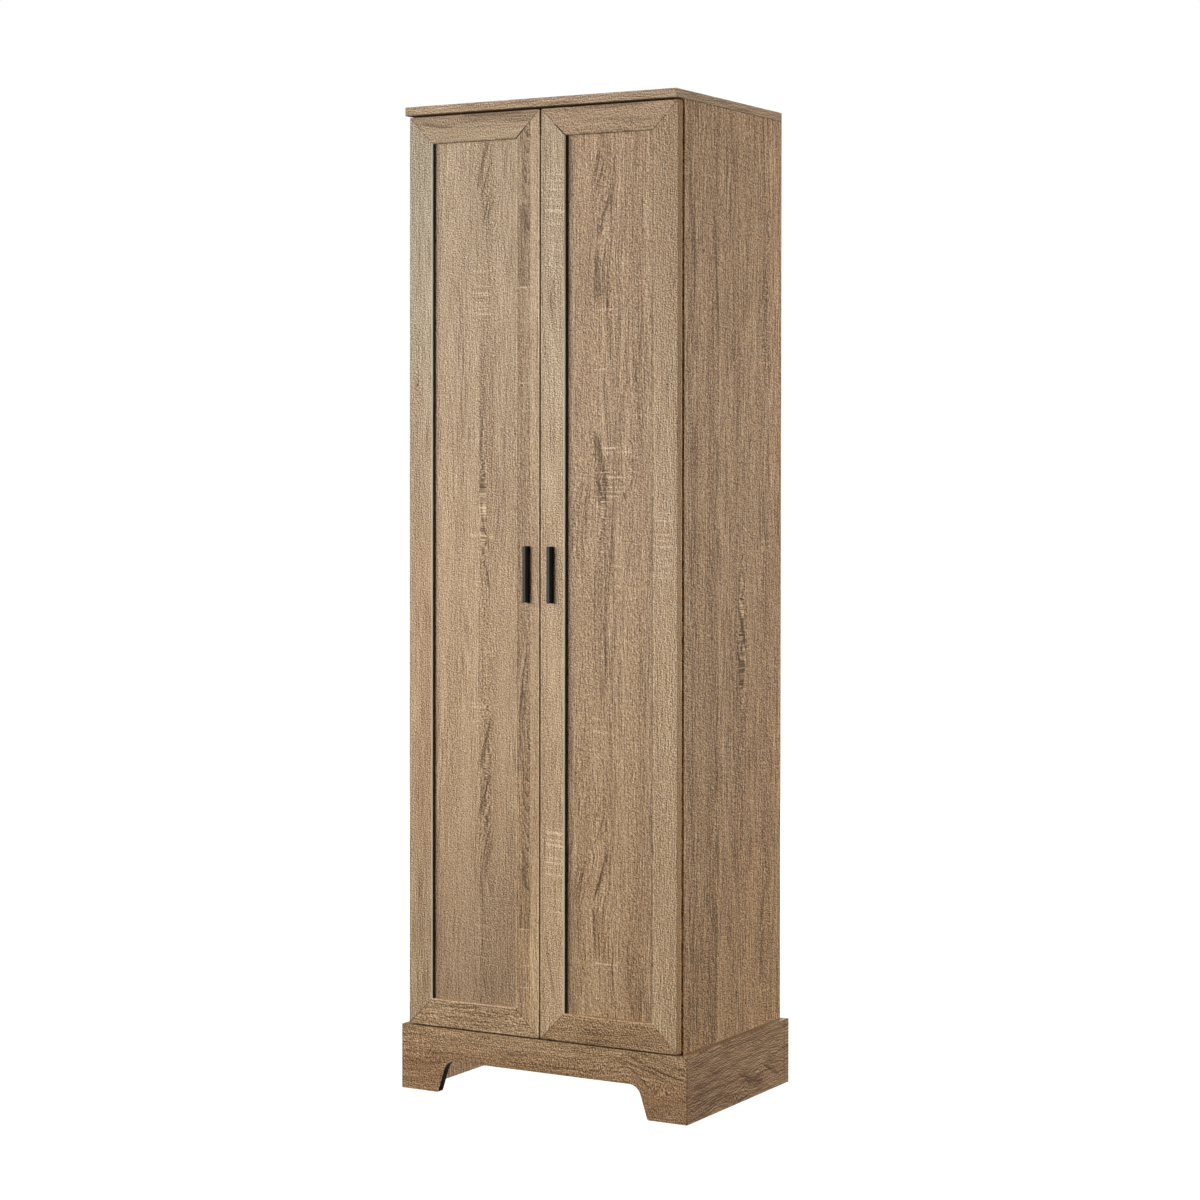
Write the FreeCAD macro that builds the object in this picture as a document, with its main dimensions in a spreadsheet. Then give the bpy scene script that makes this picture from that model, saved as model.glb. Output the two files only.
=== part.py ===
import FreeCAD, Part
import os
import re
import Sketcher

# Two-door broom cupboard, flat-pack construction, millimetres.
# +X to the right, +Y to the back, +Z up; the origin is on the floor, midway
# between the sides and between the handles and the back.
# Every board is drawn in its own frame from its lowest corner and is then placed.

doc = FreeCAD.newDocument("broom_cupboard")
V = FreeCAD.Vector

# ------------------------------------------------------------------ spreadsheet
SIZES = [
    # whole cupboard
    ("front_to_origin", 193, "plinth front face to the origin, along Y"),
    ("board_thk", 16, "board thickness"),
    ("plinth_width", 600, "outer width over the plinth"),
    ("plinth_depth", 404, "plinth front to the back of its side boards"),
    ("plinth_height", 119, "height of the plinth"),
    ("case_width", 568, "outer width over the side panels"),
    ("case_back", 400, "plinth front to the back edges of the boards"),
    ("side_height", 1800, "height of the side panels"),
    ("top_overhang", 15, "top panel forward of the plinth front"),
    # plinth cut-out
    ("foot_width", 79.5, "width of a foot on the floor"),
    ("foot_slant", 19.2, "how far a foot widens up to the cut-out top"),
    ("arch_height", 60, "height of the cut-out"),
    ("arch_radius", 24, "radius in the cut-out's upper corners"),
    ("foot_radius", 3, "radius at the inner foot corner"),
    # doors
    ("door_width", 280, "width of one door"),
    ("door_height", 1675, "height of a door"),
    ("door_thk", 17, "thickness of the door frame"),
    ("door_low", 122.5, "underside of the doors"),
    ("door_gap", 3, "gap between the doors"),
    ("door_proud", 3.5, "door face forward of the plinth front"),
    ("frame_width", 50, "width of stiles and rails"),
    ("panel_set", 10, "door panel set back from the frame face"),
    ("panel_thk", 5, "thickness of the door panel"),
    ("groove_depth", 8, "depth of the panel groove"),
    ("panel_play", 0.5, "play of the panel at the groove floor"),
    ("edge_soft", 0.9, "softened front edges of the frame"),
    ("inner_bevel", 2, "bevel along the frame's inner front edges"),
    ("edge_back", 2, "rounding of the frame's outer back edges"),
    ("board_soft", 0.6, "softened board edges"),
    # handles
    ("handle_long", 102, "length of a handle"),
    ("handle_wide", 6.5, "width of a handle"),
    ("handle_deep", 14.5, "projection of a handle"),
    ("handle_in", 25.2, "handle centre to the centre line"),
    ("handle_holes", 64, "spacing of the handle screws"),
    # inside
    ("bottom_low", 119, "underside of the bottom panel"),
    ("hat_low", 1560, "underside of the hat shelf"),
    ("divider_in", 32, "divider front edge behind the plinth front"),
    ("strip_play", 1, "hat shelf and divider short of the back panels"),
    ("shelf_in", 36, "adjustable shelf front edge behind the plinth front"),
    ("shelf_back", 397, "adjustable shelf back edge"),
    ("shelf_play", 1.5, "adjustable shelf clear at each end"),
    ("lower_low", 455, "underside of the lower shelf"),
    ("middle_low", 807, "underside of the middle shelf"),
    ("upper_low", 1127, "underside of the upper shelf"),
    ("pin_radius", 2.45, "shelf pin radius"),
    ("pin_hole", 5, "shelf pin hole diameter"),
    ("pin_hole_deep", 7, "shelf pin hole depth"),
    ("pin_front", 54, "front pin row behind the side panel's front edge"),
    ("pin_back", 334, "back pin row behind the side panel's front edge"),
    ("pin_step", 32, "step of the pin rows"),
    # back
    ("back_thk", 3, "back panel thickness"),
    ("back_low", 105, "back panel lower edge"),
    ("back_high", 1814, "back panel upper edge"),
    ("back_in", 2, "back panel inside the case width"),
    ("strip_web", 2, "web of the joining strip"),
    ("strip_flange", 16, "flange width of the joining strip"),
    ("strip_skin", 1, "flange thickness of the joining strip"),
    ("nail_radius", 0.8, "nail shank radius"),
    ("nail_long", 16, "nail length under the head"),
    # joints between boards
    ("cam_y_front", 50, "front cam row behind the side panel's front edge"),
    ("cam_y_back", 330, "back cam row"),
    ("dowel_y_front", 114, "front dowel row"),
    ("dowel_y_back", 266, "back dowel row"),
    ("cam_in", 34, "cam centre from the board's end"),
    ("cam_dia", 15.1, "cam bore"),
    ("cam_deep", 12.6, "cam bore depth"),
    ("bolt_hole", 8, "bolt hole in the board's end"),
    ("bolt_screw", 5, "bolt thread hole in the other board"),
    ("bolt_bite", 11, "bolt thread hole depth"),
    ("dowel_dia", 8, "dowel diameter"),
    ("dowel_end", 21, "dowel hole depth in the board's end"),
    ("dowel_face", 11, "dowel hole depth in the other board"),
    # hinges
    ("hinge_z_one", 222.5, "lowest hinge"),
    ("hinge_z_two", 714.5, "second hinge"),
    ("hinge_z_three", 1205.5, "third hinge"),
    ("hinge_z_four", 1697.5, "highest hinge"),
    ("cup_centre", 20.5, "cup centre from the door's outer edge"),
    ("cup_radius", 17.5, "cup outer radius"),
    ("cup_wall", 0.8, "cup wall"),
    ("cup_depth", 13, "cup depth"),
    ("axis_in", 7, "hinge axis from the door's outer edge"),
    ("axis_deep", 8.4, "hinge axis in front of the door's back face"),
    ("hinge_pin", 1.2, "hinge pin radius"),
    ("plate_line", 53, "plate screw line behind the plinth front"),
    ("plate_pitch", 32, "plate screw spacing"),
    # anti-tip brackets
    ("bracket_x", 170, "bracket centre from the centre line"),
    ("bracket_wide", 20, "bracket width"),
    ("bracket_leg", 30, "bracket leg"),
    ("bracket_thk", 2, "bracket thickness"),
    ("wall_hole", 2.75, "wall screw hole radius"),
    ("wall_hole_z", 1782, "wall screw hole height"),
]
sheet = doc.addObject("Spreadsheet::Sheet", "Sheet")
NUM = {}
for row, (alias, value, note) in enumerate(SIZES, start=1):
    sheet.set("A%d" % row, alias)
    sheet.set("B%d" % row, str(value))
    sheet.set("C%d" % row, note)
    sheet.setAlias("B%d" % row, alias)
    NUM[alias] = float(value)
doc.recompute()

WORD = re.compile(r"[A-Za-z_][A-Za-z_]*")


def bind(text):
    """A FreeCAD expression with every size word pointed at the sheet."""
    return WORD.sub(lambda m: "Sheet." + m.group(0) if m.group(0) in NUM else m.group(0), str(text))


def num(text):
    """The same expression as a number: sums, differences, products, quotients and brackets."""
    tokens = re.findall(r"[A-Za-z_]+|[0-9.]+|[-+*/()]", str(text))
    pos = [0]

    def atom():
        tok = tokens[pos[0]]
        pos[0] += 1
        if tok == "(":
            v = add()
            pos[0] += 1
            return v
        if tok == "-":
            return -atom()
        if tok in NUM:
            return NUM[tok]
        return float(tok)

    def mul():
        v = atom()
        while pos[0] < len(tokens) and tokens[pos[0]] in "*/":
            op = tokens[pos[0]]
            pos[0] += 1
            w = atom()
            v = v * w if op == "*" else v / w
        return v

    def add():
        v = mul()
        while pos[0] < len(tokens) and tokens[pos[0]] in "+-":
            op = tokens[pos[0]]
            pos[0] += 1
            w = mul()
            v = v + w if op == "+" else v - w
        return v

    return add()


# ---------------------------------------------------------------- small helpers
NODES = []


def keep(obj, label):
    obj.Label = label
    NODES.append(obj)
    return obj


def put(obj, x, y, z):
    """Place by expressions; y is measured from the plinth front."""
    obj.setExpression("Placement.Base.x", bind(x))
    obj.setExpression("Placement.Base.y", bind("%s - front_to_origin" % y))
    obj.setExpression("Placement.Base.z", bind(z))
    return obj


def new_body(name):
    body = doc.addObject("PartDesign::Body", name)
    body.Label = name
    return body


def origin_plane(body, role):
    return [f for f in body.Origin.OriginFeatures if f.Role == role][0]


def new_sketch(body, name, role, offset="0"):
    sk = body.newObject("Sketcher::SketchObject", name)
    sk.AttachmentSupport = [(origin_plane(body, role), "")]
    sk.MapMode = "FlatFace"
    if offset != "0":
        sk.setExpression("AttachmentOffset.Base.z", bind(offset))
    return sk


def pin_point(sk, geo, pos, x, y):
    """Fix one sketch point at (x, y) by expressions."""
    for kind, axis, text in (("DistanceX", -2, x), ("DistanceY", -1, y)):
        value = num(text)
        if abs(value) < 1e-9:
            sk.addConstraint(Sketcher.Constraint("PointOnObject", geo, pos, axis))
        else:
            if value > 0:
                sk.addConstraint(Sketcher.Constraint(kind, -1, 1, geo, pos, value))
                sk.setExpression("Constraints[%d]" % (sk.ConstraintCount - 1), bind(text))
            else:
                sk.addConstraint(Sketcher.Constraint(kind, geo, pos, -1, 1, -value))
                sk.setExpression("Constraints[%d]" % (sk.ConstraintCount - 1), bind("-(%s)" % text))


def polygon(body, name, role, points, offset="0"):
    sk = new_sketch(body, name, role, offset)
    pts = [V(num(x), num(y), 0) for x, y in points]
    count = len(pts)
    for i in range(count):
        sk.addGeometry(Part.LineSegment(pts[i], pts[(i + 1) % count]), False)
    for i in range(count):
        sk.addConstraint(Sketcher.Constraint("Coincident", i, 2, (i + 1) % count, 1))
    for i in range(count):
        pin_point(sk, i, 1, points[i][0], points[i][1])
    return sk


def circles(body, name, role, centres, diameter, offset="0"):
    sk = new_sketch(body, name, role, offset)
    for i, (x, y) in enumerate(centres):
        sk.addGeometry(Part.Circle(V(num(x), num(y), 0), V(0, 0, 1), num(diameter) / 2), False)
        pin_point(sk, i, 3, x, y)
        sk.addConstraint(Sketcher.Constraint("Diameter", i, num(diameter)))
        sk.setExpression("Constraints[%d]" % (sk.ConstraintCount - 1), bind(diameter))
    return sk


def pad(body, sk, length, reverse=False, midplane=False):
    f = body.newObject("PartDesign::Pad", sk.Name + "_pad")
    f.Profile = sk
    f.setExpression("Length", bind(length))
    f.Reversed = reverse
    if midplane:
        f.SideType = "Symmetric"
    doc.recompute()
    return f


def pocket(body, sk, depth, forward):
    """Cut a sketch by a depth; forward cuts along the sketch's own normal."""
    before = body.Shape.Volume
    f = body.newObject("PartDesign::Pocket", sk.Name + "_cut")
    f.Profile = sk
    f.setExpression("Length", bind(depth))
    f.Reversed = forward
    doc.recompute()
    if not body.Shape.Volume < before - 0.5:
        raise RuntimeError("%s cut nothing" % f.Name)
    return f


# a sketch plane's normal: XY +Z, XZ -Y, YZ +X; a face at local y needs an offset of -y
def drill(body, name, role, face, centres, diameter, depth, along_plus):
    if role == "XZ_Plane":
        sk = circles(body, name, role, centres, diameter, "0" if num(face) == 0 else "-(%s)" % face)
        return pocket(body, sk, depth, not along_plus)
    sk = circles(body, name, role, centres, diameter, face)
    return pocket(body, sk, depth, along_plus)


def slot(body, name, role, face, points, depth, along_plus):
    if role == "XZ_Plane":
        sk = polygon(body, name, role, points, "0" if num(face) == 0 else "-(%s)" % face)
        return pocket(body, sk, depth, not along_plus)
    sk = polygon(body, name, role, points, face)
    return pocket(body, sk, depth, along_plus)


def soften(body, radius, test, kind="Fillet"):
    """Round or chamfer the straight edges of the body that the test picks."""
    doc.recompute()
    tip = body.Tip
    names = []
    for i, e in enumerate(tip.Shape.Edges, start=1):
        if not isinstance(e.Curve, Part.Line):
            continue
        a, b = e.Vertexes[0].Point, e.Vertexes[-1].Point
        if test(a, b):
            names.append("Edge%d" % i)
    if not names:
        raise RuntimeError("no edge to soften on " + body.Name)
    f = body.newObject("PartDesign::" + kind, body.Name + "_" + kind.lower() + str(len(body.Group)))
    f.Base = (tip, names)
    f.setExpression("Radius" if kind == "Fillet" else "Size", bind(radius))
    doc.recompute()
    return f


def near(a, b, tol=1e-4):
    return abs(a - b) < tol


def both(a, b, axis, value):
    return near(getattr(a, axis), value) and near(getattr(b, axis), value)


def rect(w, d):
    return [("0", "0"), (w, "0"), (w, d), ("0", d)]


def copies(name, master, places):
    """One node of identical separate pieces: links to a master at each place (x, y, z[, axis, angle])."""
    links = []
    for i, p in enumerate(places, start=1):
        ln = doc.addObject("App::Link", "%s_%d" % (name, i))
        ln.LinkedObject = master
        if len(p) > 3:
            ln.Placement = FreeCAD.Placement(V(0, 0, 0), FreeCAD.Rotation(V(*p[3]), p[4]))
        put(ln, p[0], p[1], p[2])
        links.append(ln)
    group = doc.addObject("Part::Compound", name)
    group.Links = links
    return keep(group, name)


def mirrored(source, label):
    m = doc.addObject("Part::Mirroring", label)
    m.Source = source
    m.Base = V(0, 0, 0)
    m.Normal = V(1, 0, 0)
    return keep(m, label)


def cylinder(name, radius, height, x="0", y="0", z="0", axis=None, angle=0):
    c = doc.addObject("Part::Cylinder", name)
    c.setExpression("Radius", bind(radius))
    c.setExpression("Height", bind(height))
    if axis:
        c.Placement = FreeCAD.Placement(V(0, 0, 0), FreeCAD.Rotation(V(*axis), angle))
    for k, t in (("x", x), ("y", y), ("z", z)):
        c.setExpression("Placement.Base." + k, bind(t))
    return c


def block(name, lx, ly, lz, x="0", y="0", z="0"):
    b = doc.addObject("Part::Box", name)
    for k, t in (("Length", lx), ("Width", ly), ("Height", lz)):
        b.setExpression(k, bind(t))
    for k, t in (("x", x), ("y", y), ("z", z)):
        b.setExpression("Placement.Base." + k, bind(t))
    return b


def fuse(name, parts):
    f = doc.addObject("Part::MultiFuse", name)
    f.Shapes = parts
    f.Refine = True
    return f


def framed(name, obj):
    """Hold a placed primitive in a compound, so that a link keeps its place in the master's frame."""
    c = doc.addObject("Part::Compound", name)
    c.Links = [obj]
    return c


def cut(name, base, tools):
    if len(tools) > 1:
        tool = doc.addObject("Part::MultiFuse", name + "_tools")
        tool.Shapes = tools
    else:
        tool = tools[0]
    c = doc.addObject("Part::Cut", name)
    c.Base = base
    c.Tool = tool
    return c


SIDE_Y = "board_thk"                       # the side panels start behind the plinth board
CASE_DEPTH = "(case_back - board_thk)"
INNER = "(case_width / 2 - board_thk)"     # inner face of a side panel from the centre line
HINGES = ("hinge_z_one", "hinge_z_two", "hinge_z_three", "hinge_z_four")
SHELVES = ("lower_low", "middle_low", "upper_low")
PIN_ROWS = [(y, "%s - pin_radius + pin_step * %d" % (s, k)) for s in SHELVES for k in (-1, 0, 1) for y in ("pin_front", "pin_back")]
# nails through the back panel: height list for the sides, x list for the cross boards
NAIL_Z = ["back_low + 40 + %d" % (k * 180) for k in range(10)]
NAIL_X = ["60", "150", "240"]

# ------------------------------------------------------------------ side panels
side = new_body("left_side_panel")
pad(side, polygon(side, "side_outline", "XY_Plane", rect("board_thk", CASE_DEPTH)), "side_height")
# dowel and bolt holes of the bottom panel and the hat shelf, from the inner face
rows = ["bottom_low + board_thk / 2", "hat_low + board_thk / 2"]
drill(side, "side_bolts", "YZ_Plane", "board_thk",
      [(y, z) for z in rows for y in ("cam_y_front", "cam_y_back")], "bolt_screw", "bolt_bite", False)
drill(side, "side_dowels", "YZ_Plane", "board_thk",
      [(y, z) for z in rows for y in ("dowel_y_front", "dowel_y_back")], "dowel_dia + 0.1", "dowel_face", False)
drill(side, "side_pins", "YZ_Plane", "board_thk", PIN_ROWS, "pin_hole", "pin_hole_deep", False)
drill(side, "side_plate_holes", "YZ_Plane", "board_thk",
      [("plate_line - board_thk", "%s %s plate_pitch / 2" % (h, s)) for h in HINGES for s in "+-"], "5", "11", False)
# cams of the top panel in the inner face, with their bolt and dowel holes in the upper end
drill(side, "side_cams", "YZ_Plane", "board_thk",
      [(y, "side_height - cam_in") for y in ("cam_y_front", "cam_y_back")], "cam_dia", "cam_deep", False)
drill(side, "side_end_bolts", "XY_Plane", "side_height",
      [("board_thk / 2", y) for y in ("cam_y_front", "cam_y_back")], "bolt_hole", "cam_in", False)
drill(side, "side_end_dowels", "XY_Plane", "side_height",
      [("board_thk / 2", y) for y in ("dowel_y_front", "dowel_y_back")], "dowel_dia + 0.1", "dowel_end", False)
drill(side, "side_nails", "XZ_Plane", CASE_DEPTH,
      [("board_thk / 2", z) for z in NAIL_Z], "nail_radius * 2 + 0.1", "nail_long - 2", False)
soften(side, "board_soft", lambda a, b: both(a, b, "x", 0) and both(a, b, "y", 0))
put(side, "-case_width / 2", SIDE_Y, "0")
keep(side, "left_side_panel")
mirrored(side, "right_side_panel")

# -------------------------------------------------------------------- top panel
top = new_body("top_panel")
pad(top, polygon(top, "top_outline", "XY_Plane", rect("case_width", "(case_back + top_overhang)")), "board_thk")
TOP_Y = "(board_thk + top_overhang)"       # side panel front edge in the top panel's frame
ends = ["board_thk / 2", "case_width - board_thk / 2"]
drill(top, "top_bolts", "XY_Plane", "0",
      [(x, "%s + %s" % (TOP_Y, y)) for x in ends for y in ("cam_y_front", "cam_y_back")], "bolt_screw", "bolt_bite", True)
drill(top, "top_dowels", "XY_Plane", "0",
      [(x, "%s + %s" % (TOP_Y, y)) for x in ends for y in ("dowel_y_front", "dowel_y_back")], "dowel_dia + 0.1", "dowel_face", True)
drill(top, "top_bracket_holes", "XY_Plane", "0",
      [("case_width / 2 %s bracket_x" % s, "case_back + top_overhang - %s" % y) for s in "+-" for y in ("10", "22")], "3.1", "11", True)
drill(top, "top_nails", "XZ_Plane", "(case_back + top_overhang)",
      [("case_width / 2 %s %s" % (s, x), "board_thk / 2") for s in "+-" for x in NAIL_X], "nail_radius * 2 + 0.1", "nail_long - 2", False)
soften(top, "board_soft", lambda a, b: (both(a, b, "y", 0) and (both(a, b, "z", 0) or both(a, b, "z", NUM["board_thk"])))
       or ((both(a, b, "x", 0) or both(a, b, "x", NUM["case_width"])) and both(a, b, "z", NUM["board_thk"]))
       or ((both(a, b, "x", 0) or both(a, b, "x", NUM["case_width"])) and both(a, b, "y", 0)))
put(top, "-case_width / 2", "0 - top_overhang", "side_height")
keep(top, "top_panel")


# ------------------------------------------- panels that sit between the sides
def cross_panel(name, low, depth, divider_side):
    """A board between the side panels: cams in its underside, bolts and dowels in its ends."""
    wide = "(case_width - 2 * board_thk)"
    b = new_body(name)
    pad(b, polygon(b, name + "_outline", "XY_Plane", rect(wide, depth)), "board_thk")
    cams = [(x, y) for x in ("cam_in", wide + " - cam_in") for y in ("cam_y_front", "cam_y_back")]
    drill(b, name + "_cams", "XY_Plane", "0", cams, "cam_dia", "cam_deep", True)
    for tag, face, plus in (("a", "0", True), ("b", wide, False)):
        drill(b, name + "_end_bolts_" + tag, "YZ_Plane", face,
              [(y, "board_thk / 2") for y in ("cam_y_front", "cam_y_back")], "bolt_hole", "cam_in", plus)
        drill(b, name + "_end_dowels_" + tag, "YZ_Plane", face,
              [(y, "board_thk / 2") for y in ("dowel_y_front", "dowel_y_back")], "dowel_dia + 0.1", "dowel_end", plus)
    # bolts and dowels of the divider, in the face that meets it
    face, plus = ("board_thk", False) if divider_side == "up" else ("0", True)
    mid = wide + " / 2"
    drill(b, name + "_divider_bolts", "XY_Plane", face, [(mid, y) for y in ("cam_y_front", "cam_y_back")], "bolt_screw", "bolt_bite", plus)
    drill(b, name + "_divider_dowels", "XY_Plane", face, [(mid, y) for y in ("dowel_y_front", "dowel_y_back")], "dowel_dia + 0.1", "dowel_face", plus)
    drill(b, name + "_nails", "XZ_Plane", depth,
          [("%s %s %s" % (mid, s, x), "board_thk / 2") for s in "+-" for x in NAIL_X], "nail_radius * 2 + 0.1", "nail_long - 2", False)
    return b


bottom = cross_panel("bottom_panel", "bottom_low", CASE_DEPTH, "up")
BLOCK_SCREWS = [("15", "15"), ("(case_width - 2 * board_thk) - 15", "15"), ("(case_width - 2 * board_thk) / 2", "15"),
                ("15", CASE_DEPTH + " - 31"), ("(case_width - 2 * board_thk) - 15", CASE_DEPTH + " - 31")]
drill(bottom, "bottom_block_holes", "XY_Plane", "0", BLOCK_SCREWS, "3.5", "11", True)
soften(bottom, "board_soft", lambda a, b: both(a, b, "y", 0) and (both(a, b, "z", 0) or both(a, b, "z", NUM["board_thk"])))
put(bottom, "-" + INNER, SIDE_Y, "bottom_low")
keep(bottom, "bottom_panel")

hat = cross_panel("hat_shelf", "hat_low", "(case_back - board_thk - strip_play)", "down")
soften(hat, "board_soft", lambda a, b: both(a, b, "y", 0) and (both(a, b, "z", 0) or both(a, b, "z", NUM["board_thk"])))
put(hat, "-" + INNER, SIDE_Y, "hat_low")
keep(hat, "hat_shelf")

# ---------------------------------------------------------------------- divider
div = new_body("divider_panel")
DIV_H = "(hat_low - bottom_low - board_thk)"
DIV_D = "(case_back - strip_play - divider_in)"
DIV_Y = "(divider_in - board_thk)"         # divider front edge behind the side panel's
pad(div, polygon(div, "div_outline", "XY_Plane", rect("board_thk", DIV_D)), DIV_H)
base_z = "(bottom_low + board_thk)"
div_rows = [("%s - %s" % (y, DIV_Y), "%s - %s" % (z, base_z)) for y, z in PIN_ROWS]
drill(div, "div_pins_right", "YZ_Plane", "board_thk", div_rows, "pin_hole", "pin_hole_deep", False)
drill(div, "div_pins_left", "YZ_Plane", "0", div_rows, "pin_hole", "pin_hole_deep", True)
drill(div, "div_cams", "YZ_Plane", "0",
      [("%s - %s" % (y, DIV_Y), z) for z in ("cam_in", DIV_H + " - cam_in") for y in ("cam_y_front", "cam_y_back")],
      "cam_dia", "cam_deep", True)
for tag, face, plus in (("low", "0", True), ("high", DIV_H, False)):
    drill(div, "div_bolts_" + tag, "XY_Plane", face,
          [("board_thk / 2", "%s - %s" % (y, DIV_Y)) for y in ("cam_y_front", "cam_y_back")], "bolt_hole", "cam_in", plus)
    drill(div, "div_dowels_" + tag, "XY_Plane", face,
          [("board_thk / 2", "%s - %s" % (y, DIV_Y)) for y in ("dowel_y_front", "dowel_y_back")], "dowel_dia + 0.1", "dowel_end", plus)
soften(div, "board_soft", lambda a, b: both(a, b, "y", 0) and (both(a, b, "x", 0) or both(a, b, "x", NUM["board_thk"])))
put(div, "-board_thk / 2", "divider_in", base_z)
keep(div, "divider_panel")

# ----------------------------------------------------------- adjustable shelves
for label, low in (("lower_shelf", "lower_low"), ("middle_shelf", "middle_low"), ("upper_shelf", "upper_low")):
    b = new_body(label)
    pad(b, polygon(b, label + "_outline", "XY_Plane",
                   rect("(%s - board_thk / 2 - 2 * shelf_play)" % INNER, "(shelf_back - shelf_in)")), "board_thk")
    soften(b, "board_soft", lambda a, c: both(a, c, "y", 0) and (both(a, c, "z", 0) or both(a, c, "z", NUM["board_thk"])))
    put(b, "board_thk / 2 + shelf_play", "shelf_in", low)
    keep(b, label)

# shelf pin: a peg with a stop collar, its axis along X, the peg in the hole on the -X side
peg = cylinder("pin_peg", "pin_radius", "pin_hole_deep + 8.5", "0.3 - pin_hole_deep", "0", "0", (0, 1, 0), 90)
collar = cylinder("pin_collar", "pin_radius + 1.1", "1", "0", "0", "0", (0, 1, 0), 90)
shelf_pin = fuse("shelf_pin_master", [peg, collar])
places = []
for s in SHELVES:
    for y in ("pin_front", "pin_back"):
        places.append(("board_thk / 2", "board_thk + " + y, s + " - pin_radius"))
        places.append((INNER, "board_thk + " + y, s + " - pin_radius", (0, 0, 1), 180))
copies("shelf_pins", shelf_pin, places)

# ------------------------------------------------------------------ back panels
back = new_body("back_panel_left")
BACK_W = "(case_width / 2 - back_in - strip_web / 2)"
pad(back, polygon(back, "back_outline", "XZ_Plane", rect(BACK_W, "(back_high - back_low)")), "back_thk", reverse=True)
# nail holes; x from the panel's outer edge
NAILS = [("board_thk / 2 - back_in", "%s - back_low" % z) for z in NAIL_Z]
CROSS = ["bottom_low + board_thk / 2", "hat_low + board_thk / 2", "side_height + board_thk / 2"]
NAILS += [("case_width / 2 - back_in - %s" % x, "%s - back_low" % z) for z in CROSS for x in NAIL_X]
drill(back, "back_nail_holes", "XZ_Plane", "0", NAILS, "nail_radius * 2 + 0.1", "back_thk", True)
drill(back, "back_wall_hole", "XZ_Plane", "0", [("case_width / 2 - back_in - bracket_x", "wall_hole_z - back_low")],
      "wall_hole * 2", "back_thk", True)
put(back, "back_in - case_width / 2", "case_back", "back_low")
keep(back, "back_panel_left")
mirrored(back, "back_panel_right")

# joining strip of H section between the two back panels
strip = new_body("back_joining_strip")
h = "strip_flange / 2"
w = "strip_web / 2"
pad(strip, polygon(strip, "strip_section", "XY_Plane", [
    ("-" + h, "0"), (h, "0"), (h, "strip_skin"), (w, "strip_skin"), (w, "strip_skin + back_thk"),
    (h, "strip_skin + back_thk"), (h, "2 * strip_skin + back_thk"), ("-" + h, "2 * strip_skin + back_thk"),
    ("-" + h, "strip_skin + back_thk"), ("-" + w, "strip_skin + back_thk"), ("-" + w, "strip_skin"), ("-" + h, "strip_skin"),
]), "(side_height - bottom_low - board_thk)")
put(strip, "0", "case_back - strip_skin", "bottom_low + board_thk")
keep(strip, "back_joining_strip")

# flat-head nail pointing to -Y, its head on the panel's outer face
nail = fuse("nail_master", [
    cylinder("nail_shank", "nail_radius", "nail_long", "0", "0", "0", (1, 0, 0), 90),
    cylinder("nail_head", "nail_radius + 1.3", "0.7", "0", "0.7", "0", (1, 0, 0), 90),
])
places = [("%s (case_width / 2 - board_thk / 2)" % s, "case_back + back_thk", z) for s in ("0 +", "0 -") for z in NAIL_Z]
places += [("%s %s" % (s, x), "case_back + back_thk", z) for s in ("0 +", "0 -") for z in CROSS for x in NAIL_X]
copies("back_nails", nail, places)

# ----------------------------------------------------------------------- plinth
front = new_body("plinth_front")
pw = "plinth_width / 2"
pad(front, polygon(front, "front_outline", "XY_Plane", [
    ("-" + pw, "0"), (pw, "0"), (pw + " - board_thk", "board_thk"), ("-%s + board_thk" % pw, "board_thk")]), "plinth_height")
f1 = "(plinth_width / 2 - foot_width)"
f2 = "(plinth_width / 2 - foot_width - foot_slant)"
slot(front, "front_arch", "XZ_Plane", "0", [("-" + f1, "0"), (f1, "0"), (f2, "arch_height"), ("-" + f2, "arch_height")],
     "board_thk", True)
soften(front, "arch_radius", lambda a, b: both(a, b, "z", NUM["arch_height"]) and near(abs(a.x), num(f2)) and near(a.x, b.x))
soften(front, "foot_radius", lambda a, b: both(a, b, "z", 0) and near(abs(a.x), num(f1)) and near(a.x, b.x))
drill(front, "front_block_holes", "XZ_Plane", "board_thk",
      [("0 - (%s - 15)" % INNER, "92"), ("%s - 15" % INNER, "92"), ("0", "104")], "3.5", "9", False)
soften(front, "board_soft", lambda a, b: both(a, b, "y", 0) and both(a, b, "z", NUM["plinth_height"]))
put(front, "0", "0", "0")
keep(front, "plinth_front")

ps = new_body("plinth_left_side")
pad(ps, polygon(ps, "plinth_side_outline", "XY_Plane", [
    ("0", "0"), ("board_thk", "board_thk"), ("board_thk", "plinth_depth"), ("0", "plinth_depth")]), "plinth_height")
soften(ps, "board_soft", lambda a, b: both(a, b, "x", 0) and both(a, b, "z", NUM["plinth_height"]))
put(ps, "-plinth_width / 2", "0", "0")
keep(ps, "plinth_left_side")
mirrored(ps, "plinth_right_side")

rail = new_body("plinth_back_rail")
pad(rail, polygon(rail, "rail_outline", "XY_Plane", rect("(case_width - 2 * board_thk)", "board_thk")), "plinth_height")
drill(rail, "rail_block_holes", "XZ_Plane", "0", [("15", "92"), ("(case_width - 2 * board_thk) - 15", "92")], "3.5", "9", True)
put(rail, "-" + INNER, "case_back - board_thk", "0")
keep(rail, "plinth_back_rail")

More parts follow.
